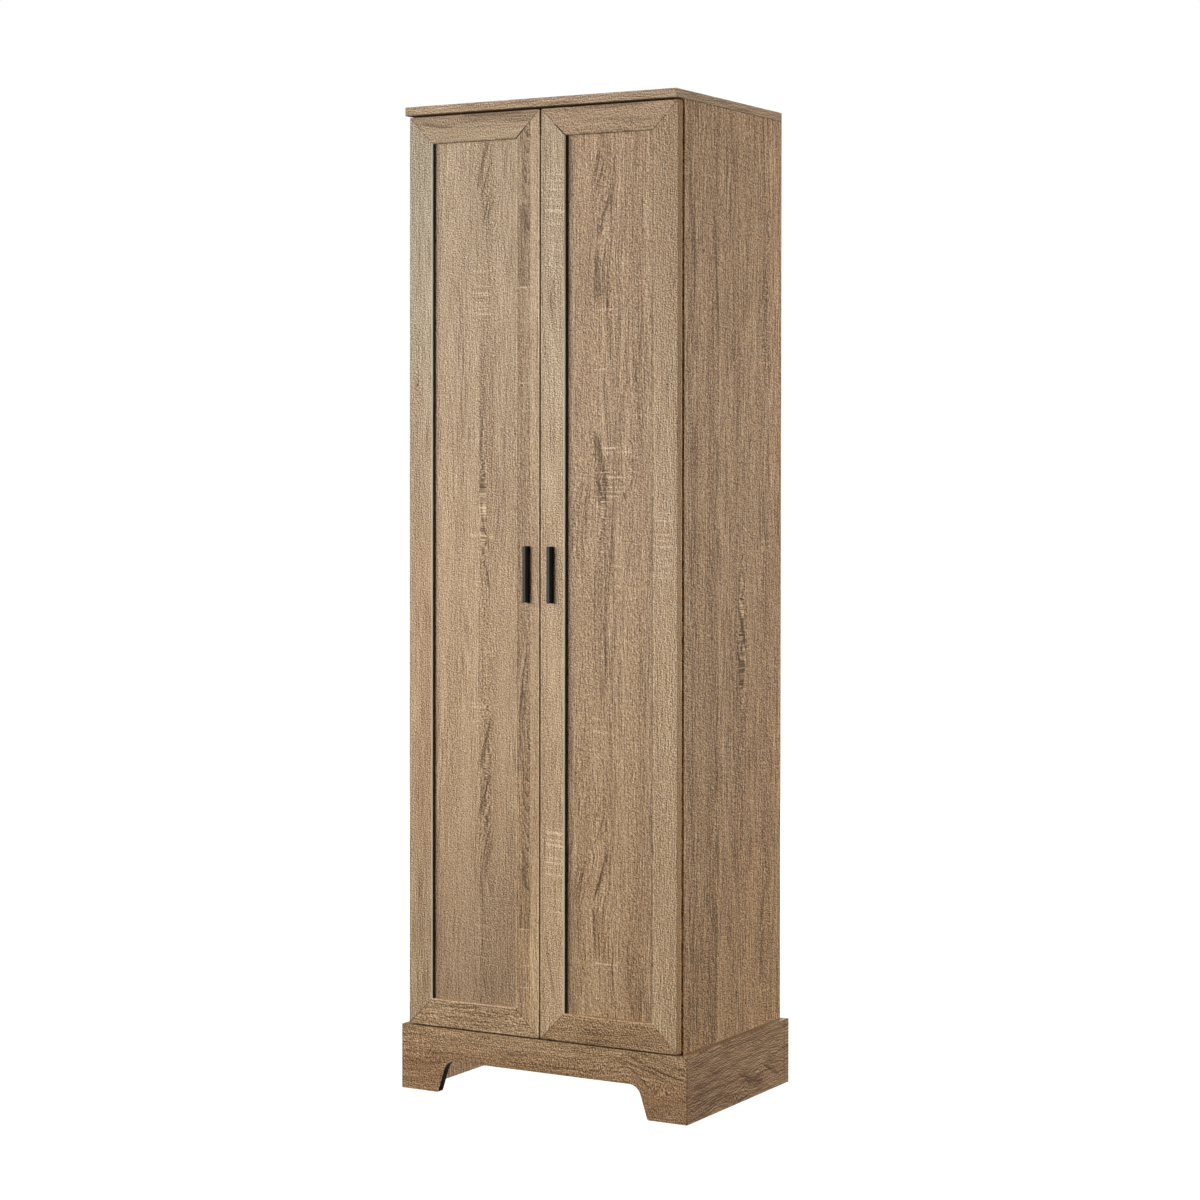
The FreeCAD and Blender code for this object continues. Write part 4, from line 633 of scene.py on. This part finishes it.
                cu, cv, eu, ev = cv, cu, ev, eu
            hw, hh = abs(eu - cu), abs(ev - cv)
            m1 = t.step(t.m("ABSOLUTE", t.sub(t.add(u, t.mul(t.sub(ripple, 0.5), 8.0)), cu)), hw * 0.75, hw * 1.1, 1.0, 0.0)
            m2 = t.step(t.m("ABSOLUTE", t.sub(v, cv)), hh * 0.6, hh * 1.1, 1.0, 0.0)
            light.append(t.mul(t.mul(t.mul(m1, m2), lad), 0.30 * amt))
    # the fibres follow the streaks beside them
    if pulls:
        g = t.sub(g, t.m("DIVIDE", pulls.value, t.add(weights.value, 0.6)))
    # fibres of five lengths, all about one width: a real print is even from short flecks to long streaks
    cx, cv = 1.0 / coarse, 1.0 / short

    def fibres(width, length, off, du=0.0, dv=0.0):
        return t.noise(t.vec(t.mad(g, width * cx, du), t.mad(v, length * cv, dv), s0 + off), 1.0, 0.0)

    long_ = fibres(0.58, 0.012, 0.0)
    fleck = fibres(0.58, 0.42, 2.0)
    em1 = t.sub(fibres(0.42, 0.045, 4.0, 0.4), fibres(0.42, 0.045, 4.0))
    em2 = t.sub(fibres(0.45, 0.20, 6.0, 0.4), fibres(0.45, 0.20, 6.0))
    em3 = t.sub(fibres(0.30, 0.42, 8.0, 0.33, 0.33), fibres(0.30, 0.42, 8.0))
    mid = t.noise(t.vec(t.mul(g, 0.14), t.mul(v, 0.0028), s0 + 11.0), 1.0, 0.0)
    broad = t.noise(t.vec(t.mul(g, 0.026), t.mul(v, 0.0022), s0 + 17.0), 1.0, 0.0)
    fine = t.step(t.add(long_, em1), 0.35, 0.65)
    hair = fleck
    ringn = t.m("PINGPONG", t.mad(g, 1 / 11.0, t.mul(broad, 6.0)), 0.5)
    ringd = t.mul(t.step(ringn, 0.30, 0.5), t.step(mid, 0.40, 0.65))
    calm = t.sub(1.0, wildness)
    print_ = t.total([
        t.mul(t.sub(long_, 0.5), t.mad(calm, 0.44 * streaky, 0.10)),
        t.mul(em1, 0.50 * streaky),
        t.mul(em2, t.mad(calm, 0.10, 0.36)),
        t.mul(t.sub(fleck, 0.5), 0.62 * crisp),
        t.mul(em3, t.mad(wildness, 0.16 * crisp, 0.44 * crisp)),
    ])
    terms = [
        t.mad(print_, gain, 0.5 + tone),
        t.mul(t.sub(mid, 0.5), 0.08 * streaky),
        t.mul(t.sub(broad, 0.5), 0.18),
        t.mul(t.mul(t.step(long_, 0.30, 0.42, 1.0, 0.0), t.mad(calm, 0.8, 0.2)), -0.06),
        t.mul(ringd, -0.02),
    ]
    if knots:
        terms.append(knots.value)
    for f in feats:
        if f[0] == "band":
            us = [q[0 if along == "z" else 1] for q in f[1:]]
            tones = BANDS[name]
            lo, hi = us[0] - 4, us[-1] + 4
            r = t.ramp(t.step(t.add(u, t.mul(t.sub(flow, 0.5), 2.0)), lo, hi, kind="LINEAR"), [((q - lo) / (hi - lo), (0.5 + k, 0.5 + k, 0.5 + k)) for q, k in zip(us, tones)])
            terms.append(t.sub(r, 0.5))
    base = t.total(terms)
    if dark:
        # a streak is grained too
        base = t.sub(base, t.mul(dark.value, t.mad(fine, -0.24, 1.12)))
    if light:
        base = t.add(base, t.mul(light.value, t.step(hair, 0.3, 0.7, 0.6, 1.2, kind="LINEAR")))
    if frame_edge:
        # painted highlights along the inner bevels, the lock edges at the middle gap and the bottom rails' top ledge, a
        # darker line along the doors' outer front edges, and the mitre joints at the corners
        ax = t.m("ABSOLUTE", x)
        zc = t.m("ABSOLUTE", t.sub(z, 960.0))
        zin = t.m("LESS_THAN", zc, 788.5)
        xin = t.m("LESS_THAN", t.m("ABSOLUTE", t.sub(ax, 141.5)), 91.5)

        def line(axis, at, amount):
            return t.mul(t.step(t.m("ABSOLUTE", t.sub(axis, at)), 0.9, 1.9, 1.0, 0.0), amount)

        high = t.step(z, 1350.0, 1600.0, 1.0, 0.4)
        # painted highlights: lighter lines along the bevels of the panel openings and along the lock edges at the
        # middle gap
        painted_edge_highlights = t.total([line(x, -50.2, 0.26), line(x, 234.4, 0.12), line(x, -2.2, 0.20), line(x, 2.6, 0.12)])
        base = t.add(base, t.mul(painted_edge_highlights, zin))
        base = t.sub(base, line(ax, 281.4, 0.13))
        # painted highlight on the top ledge of the bottom rails
        base = t.add(base, t.mul(line(z, 171.2, 0.24), xin))
        q1 = t.sub(z, ax)
        q2 = t.add(z, ax)
        dd = t.m("MINIMUM", t.m("MINIMUM", t.m("ABSOLUTE", t.sub(q1, 1516.0)), t.m("ABSOLUTE", t.sub(q2, 1799.0))),
                 t.m("MINIMUM", t.m("ABSOLUTE", t.sub(q2, 404.0)), t.m("ABSOLUTE", t.sub(q1, 121.0))))
        joint = t.mul(t.step(dd, 0.9, 1.8, 1.0, 0.0), t.m("GREATER_THAN", zc, 786.0))
        worn = t.step(t.noise(t.vec(t.mul(x, 0.05), 0.0, t.mul(z, 0.05)), 1.0, 1.0), 0.35, 0.65, 0.6, 1.0)
        # the two joints beside the middle gap are open at their inner ends
        apart = t.mul(t.step(z, 1762.0, 1772.0, 1.0, 0.0), t.m("LESS_THAN", ax, 60.0))
        apart = t.mul(apart, t.m("GREATER_THAN", z, 1000.0))
        base = t.sub(base, t.mul(t.mul(joint, t.mad(apart, 0.9, worn)), 0.34))
        crack = t.mul(t.mul(t.step(dd, 1.3, 2.3, 1.0, 0.0), apart), t.m("GREATER_THAN", zc, 786.0))
    if corner is not None:
        # the dark hairline of a mitred corner
        base = t.sub(base, t.step(t.m("ABSOLUTE", t.sub(t.m("ABSOLUTE", P[along]), corner)), 0.8, 1.8, 0.22, 0.0))
    if seam is not None:
        base = t.sub(base, t.step(t.m("ABSOLUTE", t.sub(z, seam)), 0.5, 1.6, 0.30, 0.0))
    col = t.ramp(base, WOOD)
    if frame_edge:
        col = t.mix(t.mul(crack, 0.9), col, (0.01, 0.008, 0.006))
        # painted highlight: a pale line on the bevels that face right
        bevel_highlight = t.m("MAXIMUM", t.mul(t.step(t.m("ABSOLUTE", t.add(x, 232.4)), 1.1, 1.8, 1.0, 0.0), 0.72), t.mul(t.mul(t.step(t.m("ABSOLUTE", t.sub(x, 50.4)), 0.9, 1.6, 1.0, 0.0), 0.85), high))
        bevel_highlight = t.mul(t.mul(bevel_highlight, zin), t.step(ny, -0.2, -0.4))
        col = t.mix(bevel_highlight, col, (0.95, 0.84, 0.68))
        # the outer edges of the doors are a shade darker and yellower; their rounded back is lightened with painted
        # light against the shade of the gap
        out_edge = t.mul(t.step(t.m("ABSOLUTE", nx), 0.6, 0.8), t.m("GREATER_THAN", ax, 270.0))
        col = t.mix(t.mul(out_edge, 0.85), col, t.mix(1.0, col, (0.92, 0.84, 0.60), "MULTIPLY"))
        col = t.mix(t.mul(t.step(y, -183.5, -181.5), t.m("GREATER_THAN", ax, 277.0)), col, t.mix(1.0, col, (2.4, 2.3, 2.1), "MULTIPLY"))
        # painted shade: the inner walls of the frame's recess are painted near black, darkest at their front edge
        recess_wall_shade = t.mul(t.step(t.m("ABSOLUTE", nx), 0.8, 0.9), t.m("LESS_THAN", ax, 260.0))
        recess_wall_shade = t.mul(recess_wall_shade, t.m("GREATER_THAN", ax, 20.0))
        # painted shade under the top rails
        under = t.mul(t.step(nz, -0.95, -0.85, 1.0, 0.0), t.m("GREATER_THAN", z, 1700.0))
        under = t.mul(under, t.m("LESS_THAN", z, 1780.0))
        col = t.mix(t.mul(t.m("MAXIMUM", recess_wall_shade, under), t.mad(t.m("MINIMUM", t.m("MAXIMUM", t.add(y, 194.5), 0.0), 8.0), -0.030, 0.94)), col, (0.006, 0.004, 0.003))
    # the colour is warmer and a little darker low down, greyer high up
    low = t.step(z, 60.0, 1300.0, 1.0, 0.0)
    col = t.mix(low, col, t.mix(1.0, col, (0.985, 0.945, 0.87), "MULTIPLY"))
    if tint is not None:
        col = t.mix(1.0, col, tint, "MULTIPLY")
    if cool is not None:
        high = t.step(z, 900.0, 1650.0, 0.0, 1.0)
        col = t.mix(high, col, t.mix(1.0, col, cool, "MULTIPLY"))
    if lowc is not None:
        down = t.step(z, 150.0, 700.0, 1.0, 0.0)
        col = t.mix(down, col, t.mix(1.0, col, lowc, "MULTIPLY"))
    if cut:
        foot = t.step(z, 45.0, 115.0, 1.0, 0.0)
        col = t.mix(foot, col, t.mix(1.0, col, (0.84, 0.76, 0.70), "MULTIPLY"))
    height = t.mad(print_, 0.9, 0.55)
    if raw is not None:
        chip = t.voronoi(t.vec(t.mul(x, 0.35), t.mul(y, 0.35), t.mul(z, 0.35)), 1.0, out=1)
        cs = t.node("ShaderNodeSeparateColor")
        t.put(cs.inputs[0], chip)
        chipc = t.ramp(cs.outputs[0], [(0.0, (0.16, 0.10, 0.05)), (0.5, (0.42, 0.29, 0.17)), (1.0, (0.62, 0.47, 0.30))])
        n = {"y+": ny, "z-": t.mul(nz, -1.0), "z+": nz}[raw]
        col = t.mix(t.step(n, 0.7, 0.8), col, chipc)
    if paper is not None:
        # pale backing paper on the hidden face
        pz = t.noise(t.vec(t.mul(x, 0.3), t.mul(y, 0.3), t.mul(z, 0.3)), 1.0, 3.0, 0.6)
        pc = t.ramp(pz, [(0.3, (0.70, 0.68, 0.63)), (0.7, (0.80, 0.78, 0.74))])
        n = {"y+": ny, "y-": t.mul(ny, -1.0), "x+": nx, "x-": t.mul(nx, -1.0)}[paper]
        col = t.mix(t.step(n, 0.7, 0.8), col, pc)
    if cut:
        # painted shade: the sawn edges of the bracket-foot cut-out, which face away from the lights, are painted near
        # black
        fr = t.mul(t.m("LESS_THAN", t.m("ABSOLUTE", x), 290.0), t.m("GREATER_THAN", z, 0.5))
        cut_edge_shade = t.mul(t.mul(t.step(t.m("ABSOLUTE", ny), 0.5, 0.7, 1.0, 0.0), fr), t.m("LESS_THAN", z, 112.0))
        col = t.mix(cut_edge_shade, col, (0.010, 0.007, 0.005))
    if shade:
        # painted shade beside the frame's walls at the sides of the panel
        col = t.mix(1.0, col, t.ramp(t.step(u, shade[0], shade[1], kind="LINEAR"), [(k, (c, c, c)) for k, c in shade[2]]), "MULTIPLY")
    if ledge:
        # painted light: faces that look up, the plinth's top ledge, are lightened
        col = t.mix(t.step(nz, 0.6, 0.8), col, t.mix(1.0, col, (1.45, 1.55, 1.60), "MULTIPLY"))
    if back is not None:
        fleck = t.noise(t.vec(t.mul(x, 0.9), t.mul(y, 0.9), t.mul(z, 0.9)), 1.0, 4.0, 0.75)
        cloud = t.noise(t.vec(t.mul(x, 0.02), 0.0, t.mul(z, 0.006)), 1.0, 3.0, 0.6)
        mesh = t.mul(t.m("SINE", t.mul(x, 2.2)), t.m("SINE", t.mul(z, 2.2)))
        hb = t.ramp(t.add(t.mad(t.sub(cloud, 0.5), 0.16, fleck), t.mul(mesh, 0.03)), [(0.30, (0.21, 0.13, 0.072)), (0.5, (0.33, 0.215, 0.125)), (0.70, (0.45, 0.31, 0.19))])
        col = t.mix(t.step(ny, 0.4, 0.6), col, hb)
    t.put(bsdf.inputs["Base Color"], col)
    t.put(bsdf.inputs["Roughness"], t.step(height, 0.3, 0.8, 0.66, 0.52, kind="LINEAR"))
    if cut:
        # less specular on the cut edges painted as shade
        t.put(bsdf.inputs["Specular IOR Level"], t.mad(cut_edge_shade, -0.29, 0.32))
    else:
        bsdf.inputs["Specular IOR Level"].default_value = 0.32
    bump(t, bsdf, height, 0.35, 0.0004)
    return mat


# ---------------------------------------------------------------- other finishes
def black_metal():
    mat, t, bsdf = material("matt_black_powder_coat")
    x, y, z, nx, ny, nz = t.coords()
    grain = t.noise(t.vec(x, y, z), 2.2, 3.0, 0.6)
    cloud = t.noise(t.vec(x, y, z), 0.05, 2.0, 0.5)
    f = t.mad(t.sub(grain, 0.5), 0.5, cloud)
    t.put(bsdf.inputs["Base Color"], t.ramp(f, [(0.25, (0.005, 0.005, 0.0055)), (0.75, (0.012, 0.012, 0.013))]))
    t.put(bsdf.inputs["Roughness"], t.step(f, 0.25, 0.75, 0.38, 0.50, kind="LINEAR"))
    bsdf.inputs["Specular IOR Level"].default_value = 0.28
    bump(t, bsdf, grain, 0.25, 0.0001)
    return mat


def metal(name, low, high, rough, scale, stretch=(1, 1, 1), metallic=1.0):
    mat, t, bsdf = material(name)
    x, y, z, nx, ny, nz = t.coords()
    p = t.vec(t.mul(x, stretch[0]), t.mul(y, stretch[1]), t.mul(z, stretch[2]))
    n1 = t.noise(p, scale, 3.0, 0.6)
    n2 = t.noise(t.vec(x, y, z), 0.12, 2.0, 0.5)
    f = t.mad(t.sub(n1, 0.5), 0.7, n2)
    t.put(bsdf.inputs["Base Color"], t.ramp(f, [(0.25, low), (0.75, high)]))
    t.put(bsdf.inputs["Roughness"], t.step(f, 0.2, 0.8, rough - 0.08, rough + 0.1, kind="LINEAR"))
    bsdf.inputs["Metallic"].default_value = metallic
    bump(t, bsdf, n1, 0.15, 0.0001)
    return mat


def beech():
    mat, t, bsdf = material("beech_dowel_wood")
    x, y, z, nx, ny, nz = t.coords()
    f = t.noise(t.vec(t.mul(x, 0.4), t.mul(y, 2.0), t.mul(z, 2.0)), 1.0, 3.0, 0.6)
    t.put(bsdf.inputs["Base Color"], t.ramp(f, [(0.3, (0.42, 0.27, 0.15)), (0.7, (0.62, 0.45, 0.29))]))
    t.put(bsdf.inputs["Roughness"], t.step(f, 0.3, 0.7, 0.6, 0.75, kind="LINEAR"))
    bump(t, bsdf, f, 0.2, 0.0002)
    return mat


def pine():
    mat, t, bsdf = material("planed_pine_block")
    x, y, z, nx, ny, nz = t.coords()
    w = t.noise(t.vec(t.mul(x, 0.02), t.mul(y, 0.02), t.mul(z, 0.02)), 1.0, 2.0, 0.5)
    f = t.noise(t.vec(t.mul(x, 0.05), t.mul(y, 0.4), t.mul(z, 0.4)), 1.0, 3.0, 0.6, 0.4)
    g = t.mad(t.sub(w, 0.5), 0.6, f)
    t.put(bsdf.inputs["Base Color"], t.ramp(g, [(0.3, (0.45, 0.29, 0.14)), (0.55, (0.62, 0.45, 0.26)), (0.75, (0.70, 0.54, 0.34))]))
    t.put(bsdf.inputs["Roughness"], t.step(f, 0.3, 0.7, 0.6, 0.72, kind="LINEAR"))
    bump(t, bsdf, f, 0.2, 0.0003)
    return mat


def plastic(name, low, high, rough, scale=0.6, trans=0.0):
    mat, t, bsdf = material(name)
    x, y, z, nx, ny, nz = t.coords()
    f = t.noise(t.vec(x, y, z), scale, 3.0, 0.6)
    t.put(bsdf.inputs["Base Color"], t.ramp(f, [(0.3, low), (0.7, high)]))
    t.put(bsdf.inputs["Roughness"], t.step(f, 0.3, 0.7, rough - 0.06, rough + 0.06, kind="LINEAR"))
    bump(t, bsdf, f, 0.12, 0.0001)
    if trans:
        bsdf.inputs["Transmission Weight"].default_value = trans
    return mat


# ---------------------------------------------------------------- giving every node its finish
BOARDS = {
    # name: (grain axis, (feature axis, other axis), origin of the other axis, options)
    "top_panel": ("x", ("z", "y"), -208.0, dict(switch=True, plain=True, seam=1800.0)),
    "bottom_panel": ("x", ("y", "z"), 135.0, {}),
    "hat_shelf": ("x", ("y", "z"), 1576.0, {}),
    "lower_shelf": ("x", ("y", "z"), 471.0, {}),
    "middle_shelf": ("x", ("y", "z"), 823.0, {}),
    "upper_shelf": ("x", ("y", "z"), 1143.0, {}),
    "divider_panel": ("z", ("y", "x"), 8.0, {}),
    "left_side_panel": ("z", ("y", "x"), -284.0, dict(raw="z-", seam=1800.0, coarse=1.5, gain=1.35, curl=(0.1, 0.6))),
    "right_side_panel": ("z", ("y", "x"), 284.0, dict(raw="z-", seam=1800.0, coarse=1.5, gain=1.45, crisp=1.1, curl=(0.1, 0.6), tone=-0.005, tint=(0.955, 0.895, 0.82))),
    "plinth_front": ("x", ("z", "y"), -193.0, dict(raw="z-", paper="y+", cut=True, tone=-0.01, curl=(0.2, 0.7), gain=1.5, crisp=1.25, streaky=0.65, corner=299.3, tint=(1.0, 0.975, 0.93))),
    "plinth_left_side": ("y", ("z", "x"), -300.0, dict(raw="y+", paper="x+", ledge=True, corner=192.6, short=0.7, gain=1.8, curl=(0.0, 0.4), tone=-0.09, tint=(0.935, 0.885, 0.86))),
    "plinth_right_side": ("y", ("z", "x"), 300.0, dict(raw="y+", paper="x-", ledge=True, corner=192.6, short=0.7, gain=1.8, curl=(0.0, 0.4), tone=-0.09, tint=(0.935, 0.885, 0.86))),
    "plinth_back_rail": ("x", ("z", "y"), 207.0, dict(raw="z-", paper="y-")),
    "back_panel_left": ("z", ("x", "y"), 207.0, dict(back=True)),
    "back_panel_right": ("z", ("x", "y"), 207.0, dict(back=True)),
}
for side in ("left", "right"):
    for part, along, across in (("hinge_stile", "z", "x"), ("lock_stile", "z", "x"), ("bottom_rail", "x", "z"), ("top_rail", "x", "z")):
        BOARDS[side + "_" + part] = (along, (across, "y"), -196.5, dict(frame_edge=True))
    BOARDS[side + "_door_panel"] = ("z", ("x", "y"), -186.5, {})

BOARDS["left_lock_stile"][3].update(clip=-22.4, tone=0.055, curl=(0.1, 0.8), gain=1.05, lowc=(1.13, 1.16, 1.16), cool=(0.89, 0.91, 0.9))
BOARDS["left_hinge_stile"][3].update(cool=(0.84, 0.98, 1.09), tone=0.02, gain=1.0, short=1.0, curl=(0.0, 0.35), lowc=(1.0, 1.05, 1.12), crisp=1.5, streaky=1.0)
BOARDS["left_top_rail"][3].update(cool=(0.95, 1.01, 1.045), tone=-0.02, curl=(0.2, 0.7), gain=0.95, streaky=0.6, crisp=1.2)
BOARDS["right_top_rail"][3].update(tone=-0.03, curl=(0.2, 0.7), gain=1.0, streaky=0.7, crisp=1.2)
BOARDS["left_door_panel"][3].update(cool=(0.885, 0.92, 0.95), tone=0.045, gain=1.25, curl=(0.05, 0.75), lowc=(0.83, 0.83, 0.87), crisp=1.1, streaky=0.8, shade=(-232.0, -50.0, [(0.0, 1.0), (0.86, 1.0), (0.94, 0.93), (1.0, 0.88)]))
BOARDS["right_lock_stile"][3].update(cool=(0.89, 0.95, 0.98), tone=0.05, gain=1.15, short=1.0, curl=(0.0, 0.4), lowc=(1.11, 1.14, 1.17), crisp=1.45, streaky=0.8)
BOARDS["right_door_panel"][3].update(cool=(0.925, 0.905, 0.885), tone=0.01, gain=1.25, curl=(0.15, 0.9), tint=(1.0, 0.985, 0.975), shade=(50.0, 232.0, [(0.0, 0.62), (0.03, 0.72), (0.055, 0.86), (0.09, 0.97), (0.12, 1.0), (0.9, 1.0), (0.94, 0.92), (0.965, 0.74), (1.0, 0.72)]))
BOARDS["right_hinge_stile"][3].update(cool=(0.8, 0.76, 0.7), tone=0.05, gain=1.5, curl=(0.7, 1.0), lowc=(1.06, 1.08, 1.10), streaky=1.2)
BOARDS["right_bottom_rail"][3].update(tone=-0.02, gain=1.6, curl=(0.1, 0.6), tint=(0.96, 0.91, 0.835), streaky=0.75, crisp=1.3)
BOARDS["left_bottom_rail"][3].update(gain=1.4, curl=(0.1, 0.6), streaky=0.75, crisp=1.2)
BOARDS["top_panel"][3].update(curl=(0.0, 0.35), short=1.0, gain=1.2, tone=-0.035, cool=(0.95, 0.97, 0.99))

EXTENT = {}
for name, (along, across, origin, opt) in BOARDS.items():
    lo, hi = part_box(name)
    ax = "xyz".index(across[0])
    al = "xyz".index(along)
    EXTENT[name] = ((lo[ax] * 1000, lo[al] * 1000), (hi[ax] * 1000, hi[al] * 1000))


def give(name, mat):
    o = NODES[name]
    o.data.materials.clear()
    o.data.materials.append(mat)


for i, (name, (along, across, origin, opt)) in enumerate(sorted(BOARDS.items())):
    give(name, oak(name, along, across, origin, 3 + i, **opt))

nickel = metal("nickel_plated_steel", (0.50, 0.48, 0.445), (0.68, 0.66, 0.62), 0.42, 0.8, (0.2, 1, 1))
zinc = metal("zinc_plated_screw", (0.48, 0.49, 0.50), (0.68, 0.69, 0.70), 0.44, 1.2)
casting = metal("zinc_die_casting", (0.42, 0.42, 0.43), (0.60, 0.60, 0.61), 0.42, 1.0)
black = black_metal()
wood_dowel = beech()
block = pine()
strip = plastic("grey_brown_joining_strip", (0.19, 0.13, 0.08), (0.24, 0.17, 0.11), 0.62)
soft = plastic("clear_soft_bumper", (0.60, 0.60, 0.58), (0.75, 0.75, 0.73), 0.35, trans=0.35)
FINISH = {
    "shelf_pins": nickel, "back_joining_strip": strip, "back_nails": zinc, "plinth_blocks": block,
    "plinth_screws": zinc, "cam_locks": casting, "cam_bolts": zinc, "dowels": wood_dowel,
    "anti_tip_brackets": zinc, "bracket_screws": zinc,
}
for side in ("left_", "right_"):
    FINISH.update({
        side + "hinge_arms": nickel, side + "mounting_plates": nickel, side + "plate_screws": zinc,
        side + "arm_screws": zinc, side + "handle": black, side + "handle_screws": zinc,
        side + "hinge_cups": nickel, side + "hinge_pins": nickel, side + "cup_screws": zinc,
        side + "door_bumpers": soft,
    })
for name, mat in FINISH.items():
    give(name, mat)
left_over = sorted(set(NODES) - set(FINISH) - set(BOARDS))
if left_over:
    raise RuntimeError("no finish for %s" % left_over)


# ---------------------------------------------------------------- floor, backdrop, lights, camera
def disc(name, radius, z, segments=64):
    me = bpy.data.meshes.new(name)
    pts = [(radius * math.cos(2 * math.pi * i / segments), radius * math.sin(2 * math.pi * i / segments), z) for i in range(segments)]
    me.from_pydata(pts, [], [list(range(segments))])
    o = bpy.data.objects.new(name, me)
    bpy.context.scene.collection.objects.link(o)
    return o


def dome(name, radius, rings=16, segments=48):
    me = bpy.data.meshes.new(name)
    pts, faces = [], []
    for j in range(rings + 1):
        a = -math.pi / 2 + math.pi * j / rings
        for i in range(segments):
            b = 2 * math.pi * i / segments
            pts.append((radius * math.cos(a) * math.cos(b), radius * math.cos(a) * math.sin(b), radius * math.sin(a)))
    for j in range(rings):
        for i in range(segments):
            k = (i + 1) % segments
            faces.append((j * segments + i, (j + 1) * segments + i, (j + 1) * segments + k, j * segments + k))
    me.from_pydata(pts, [], faces)
    o = bpy.data.objects.new(name, me)
    bpy.context.scene.collection.objects.link(o)
    return o


floor = disc("floor", 30.0, -0.0004)
mat, t, bsdf = material("pale_floor")
x, y, z, nx, ny, nz = t.coords()
cl = t.noise(t.vec(x, y, z), 0.003, 3.0, 0.5)
t.put(bsdf.inputs["Base Color"], t.ramp(cl, [(0.3, (0.30, 0.30, 0.30)), (0.7, (0.32, 0.32, 0.32))]))
bsdf.inputs["Roughness"].default_value = 0.8
bsdf.inputs["Emission Color"].default_value = (1.0, 1.0, 1.0, 1.0)
rad = t.m("SQRT", t.add(t.mul(x, x), t.mul(y, y)))
t.put(bsdf.inputs["Emission Strength"], t.step(rad, 500.0, 2500.0, 0.90, 1.0))
floor.data.materials.append(mat)
floor.visible_diffuse = False
floor.visible_glossy = False

me = bpy.data.meshes.new("floor_under")
me.from_pydata([(-0.283, -0.176, -0.0002), (0.283, -0.176, -0.0002), (0.283, 0.190, -0.0002), (-0.283, 0.190, -0.0002)], [], [(0, 1, 2, 3)])
under = bpy.data.objects.new("floor_under", me)
bpy.context.scene.collection.objects.link(under)
mat, t, bsdf = material("pale_floor_under")
x, y, z, nx, ny, nz = t.coords()
cl = t.noise(t.vec(x, y, z), 0.003, 3.0, 0.5)
t.put(bsdf.inputs["Base Color"], t.ramp(cl, [(0.3, (0.30, 0.30, 0.30)), (0.7, (0.32, 0.32, 0.32))]))
bsdf.inputs["Roughness"].default_value = 0.8
bsdf.inputs["Emission Color"].default_value = (1.0, 1.0, 1.0, 1.0)
bsdf.inputs["Emission Strength"].default_value = 0.97
under.data.materials.append(mat)

sky = dome("backdrop", 40.0)
mat = bpy.data.materials.new("white_backdrop")
mat.use_nodes = True
tr = Tree(mat.node_tree)
for n in list(mat.node_tree.nodes):
    mat.node_tree.nodes.remove(n)
em = tr.node("ShaderNodeEmission")
em.inputs["Color"].default_value = (1.0, 1.0, 1.0, 1.0)
em.inputs["Strength"].default_value = 1.0
out = tr.node("ShaderNodeOutputMaterial")
tr.put(out.inputs[0], em.outputs[0])
sky.data.materials.append(mat)
sky.visible_diffuse = False
sky.visible_glossy = False
sky.visible_transmission = False
sky.visible_shadow = False

world = bpy.data.worlds.new("studio")
bpy.context.scene.world = world
world.use_nodes = True
bg = [n for n in world.node_tree.nodes if n.type == "BACKGROUND"][0]
bg.inputs[0].default_value = (1.0, 0.985, 0.96, 1.0)
bg.inputs[1].default_value = 0.08


def area(name, place, aim, size, power, colour=(1, 1, 1)):
    light = bpy.data.lights.new(name, "AREA")
    light.shape = "RECTANGLE"
    light.size, light.size_y = size
    light.energy = power
    light.color = colour
    o = bpy.data.objects.new(name, light)
    bpy.context.scene.collection.objects.link(o)
    o.location = place
    d = Vector(aim) - Vector(place)
    o.rotation_euler = d.to_track_quat("-Z", "Y").to_euler()
    return o


area("front", (-1.0, -3.4, 1.35), (0.0, -0.2, 1.1), (1.3, 1.3), 96.0, (1.0, 0.985, 0.96))
area("key", (-2.2, -2.2, 2.0), (0.0, -0.2, 1.2), (1.4, 1.4), 40.0, (1.0, 0.995, 0.985))
area("top", (0.0, 0.5, 4.4), (0.0, 0.05, 1.8), (2.2, 2.2), 42.0, (1.0, 0.99, 0.97))
area("back", (-1.2, 4.2, 1.6), (0.0, 0.2, 1.0), (2.0, 2.0), 70.0, (1.0, 0.985, 0.96))
area("side", (3.4, 2.0, 1.1), (0.28, 0.0, 1.0), (1.6, 2.0), 125.0, (1.0, 0.955, 0.90))

F, YAW, PITCH, ROLL = 2809.345, math.radians(29.873), math.radians(0.641), math.radians(-0.068)
fwd = Vector((-math.sin(YAW) * math.cos(PITCH), math.cos(YAW) * math.cos(PITCH), -math.sin(PITCH)))
right = Vector((math.cos(YAW), math.sin(YAW), 0.0))
down = fwd.cross(right)
r2 = math.cos(ROLL) * right + math.sin(ROLL) * down
d2 = -math.sin(ROLL) * right + math.cos(ROLL) * down
cam = bpy.data.objects.new("camera", bpy.data.cameras.new("camera"))
bpy.context.scene.collection.objects.link(cam)
m4 = Matrix((r2, -d2, -fwd)).transposed().to_4x4()
m4.translation = Vector((2.613611, -4.527810, 1.170753))
cam.matrix_world = m4
cam.data.sensor_fit = "HORIZONTAL"
cam.data.sensor_width = 36.0
cam.data.lens = F / 1200 * 36.0
cam.data.shift_x = -0.55 / 1200
cam.data.shift_y = (488.998 - 600.0) / 1200
cam.data.clip_end = 200.0
bpy.context.scene.camera = cam
bpy.context.scene.view_settings.view_transform = "Standard"
bpy.context.scene.view_settings.look = "None"
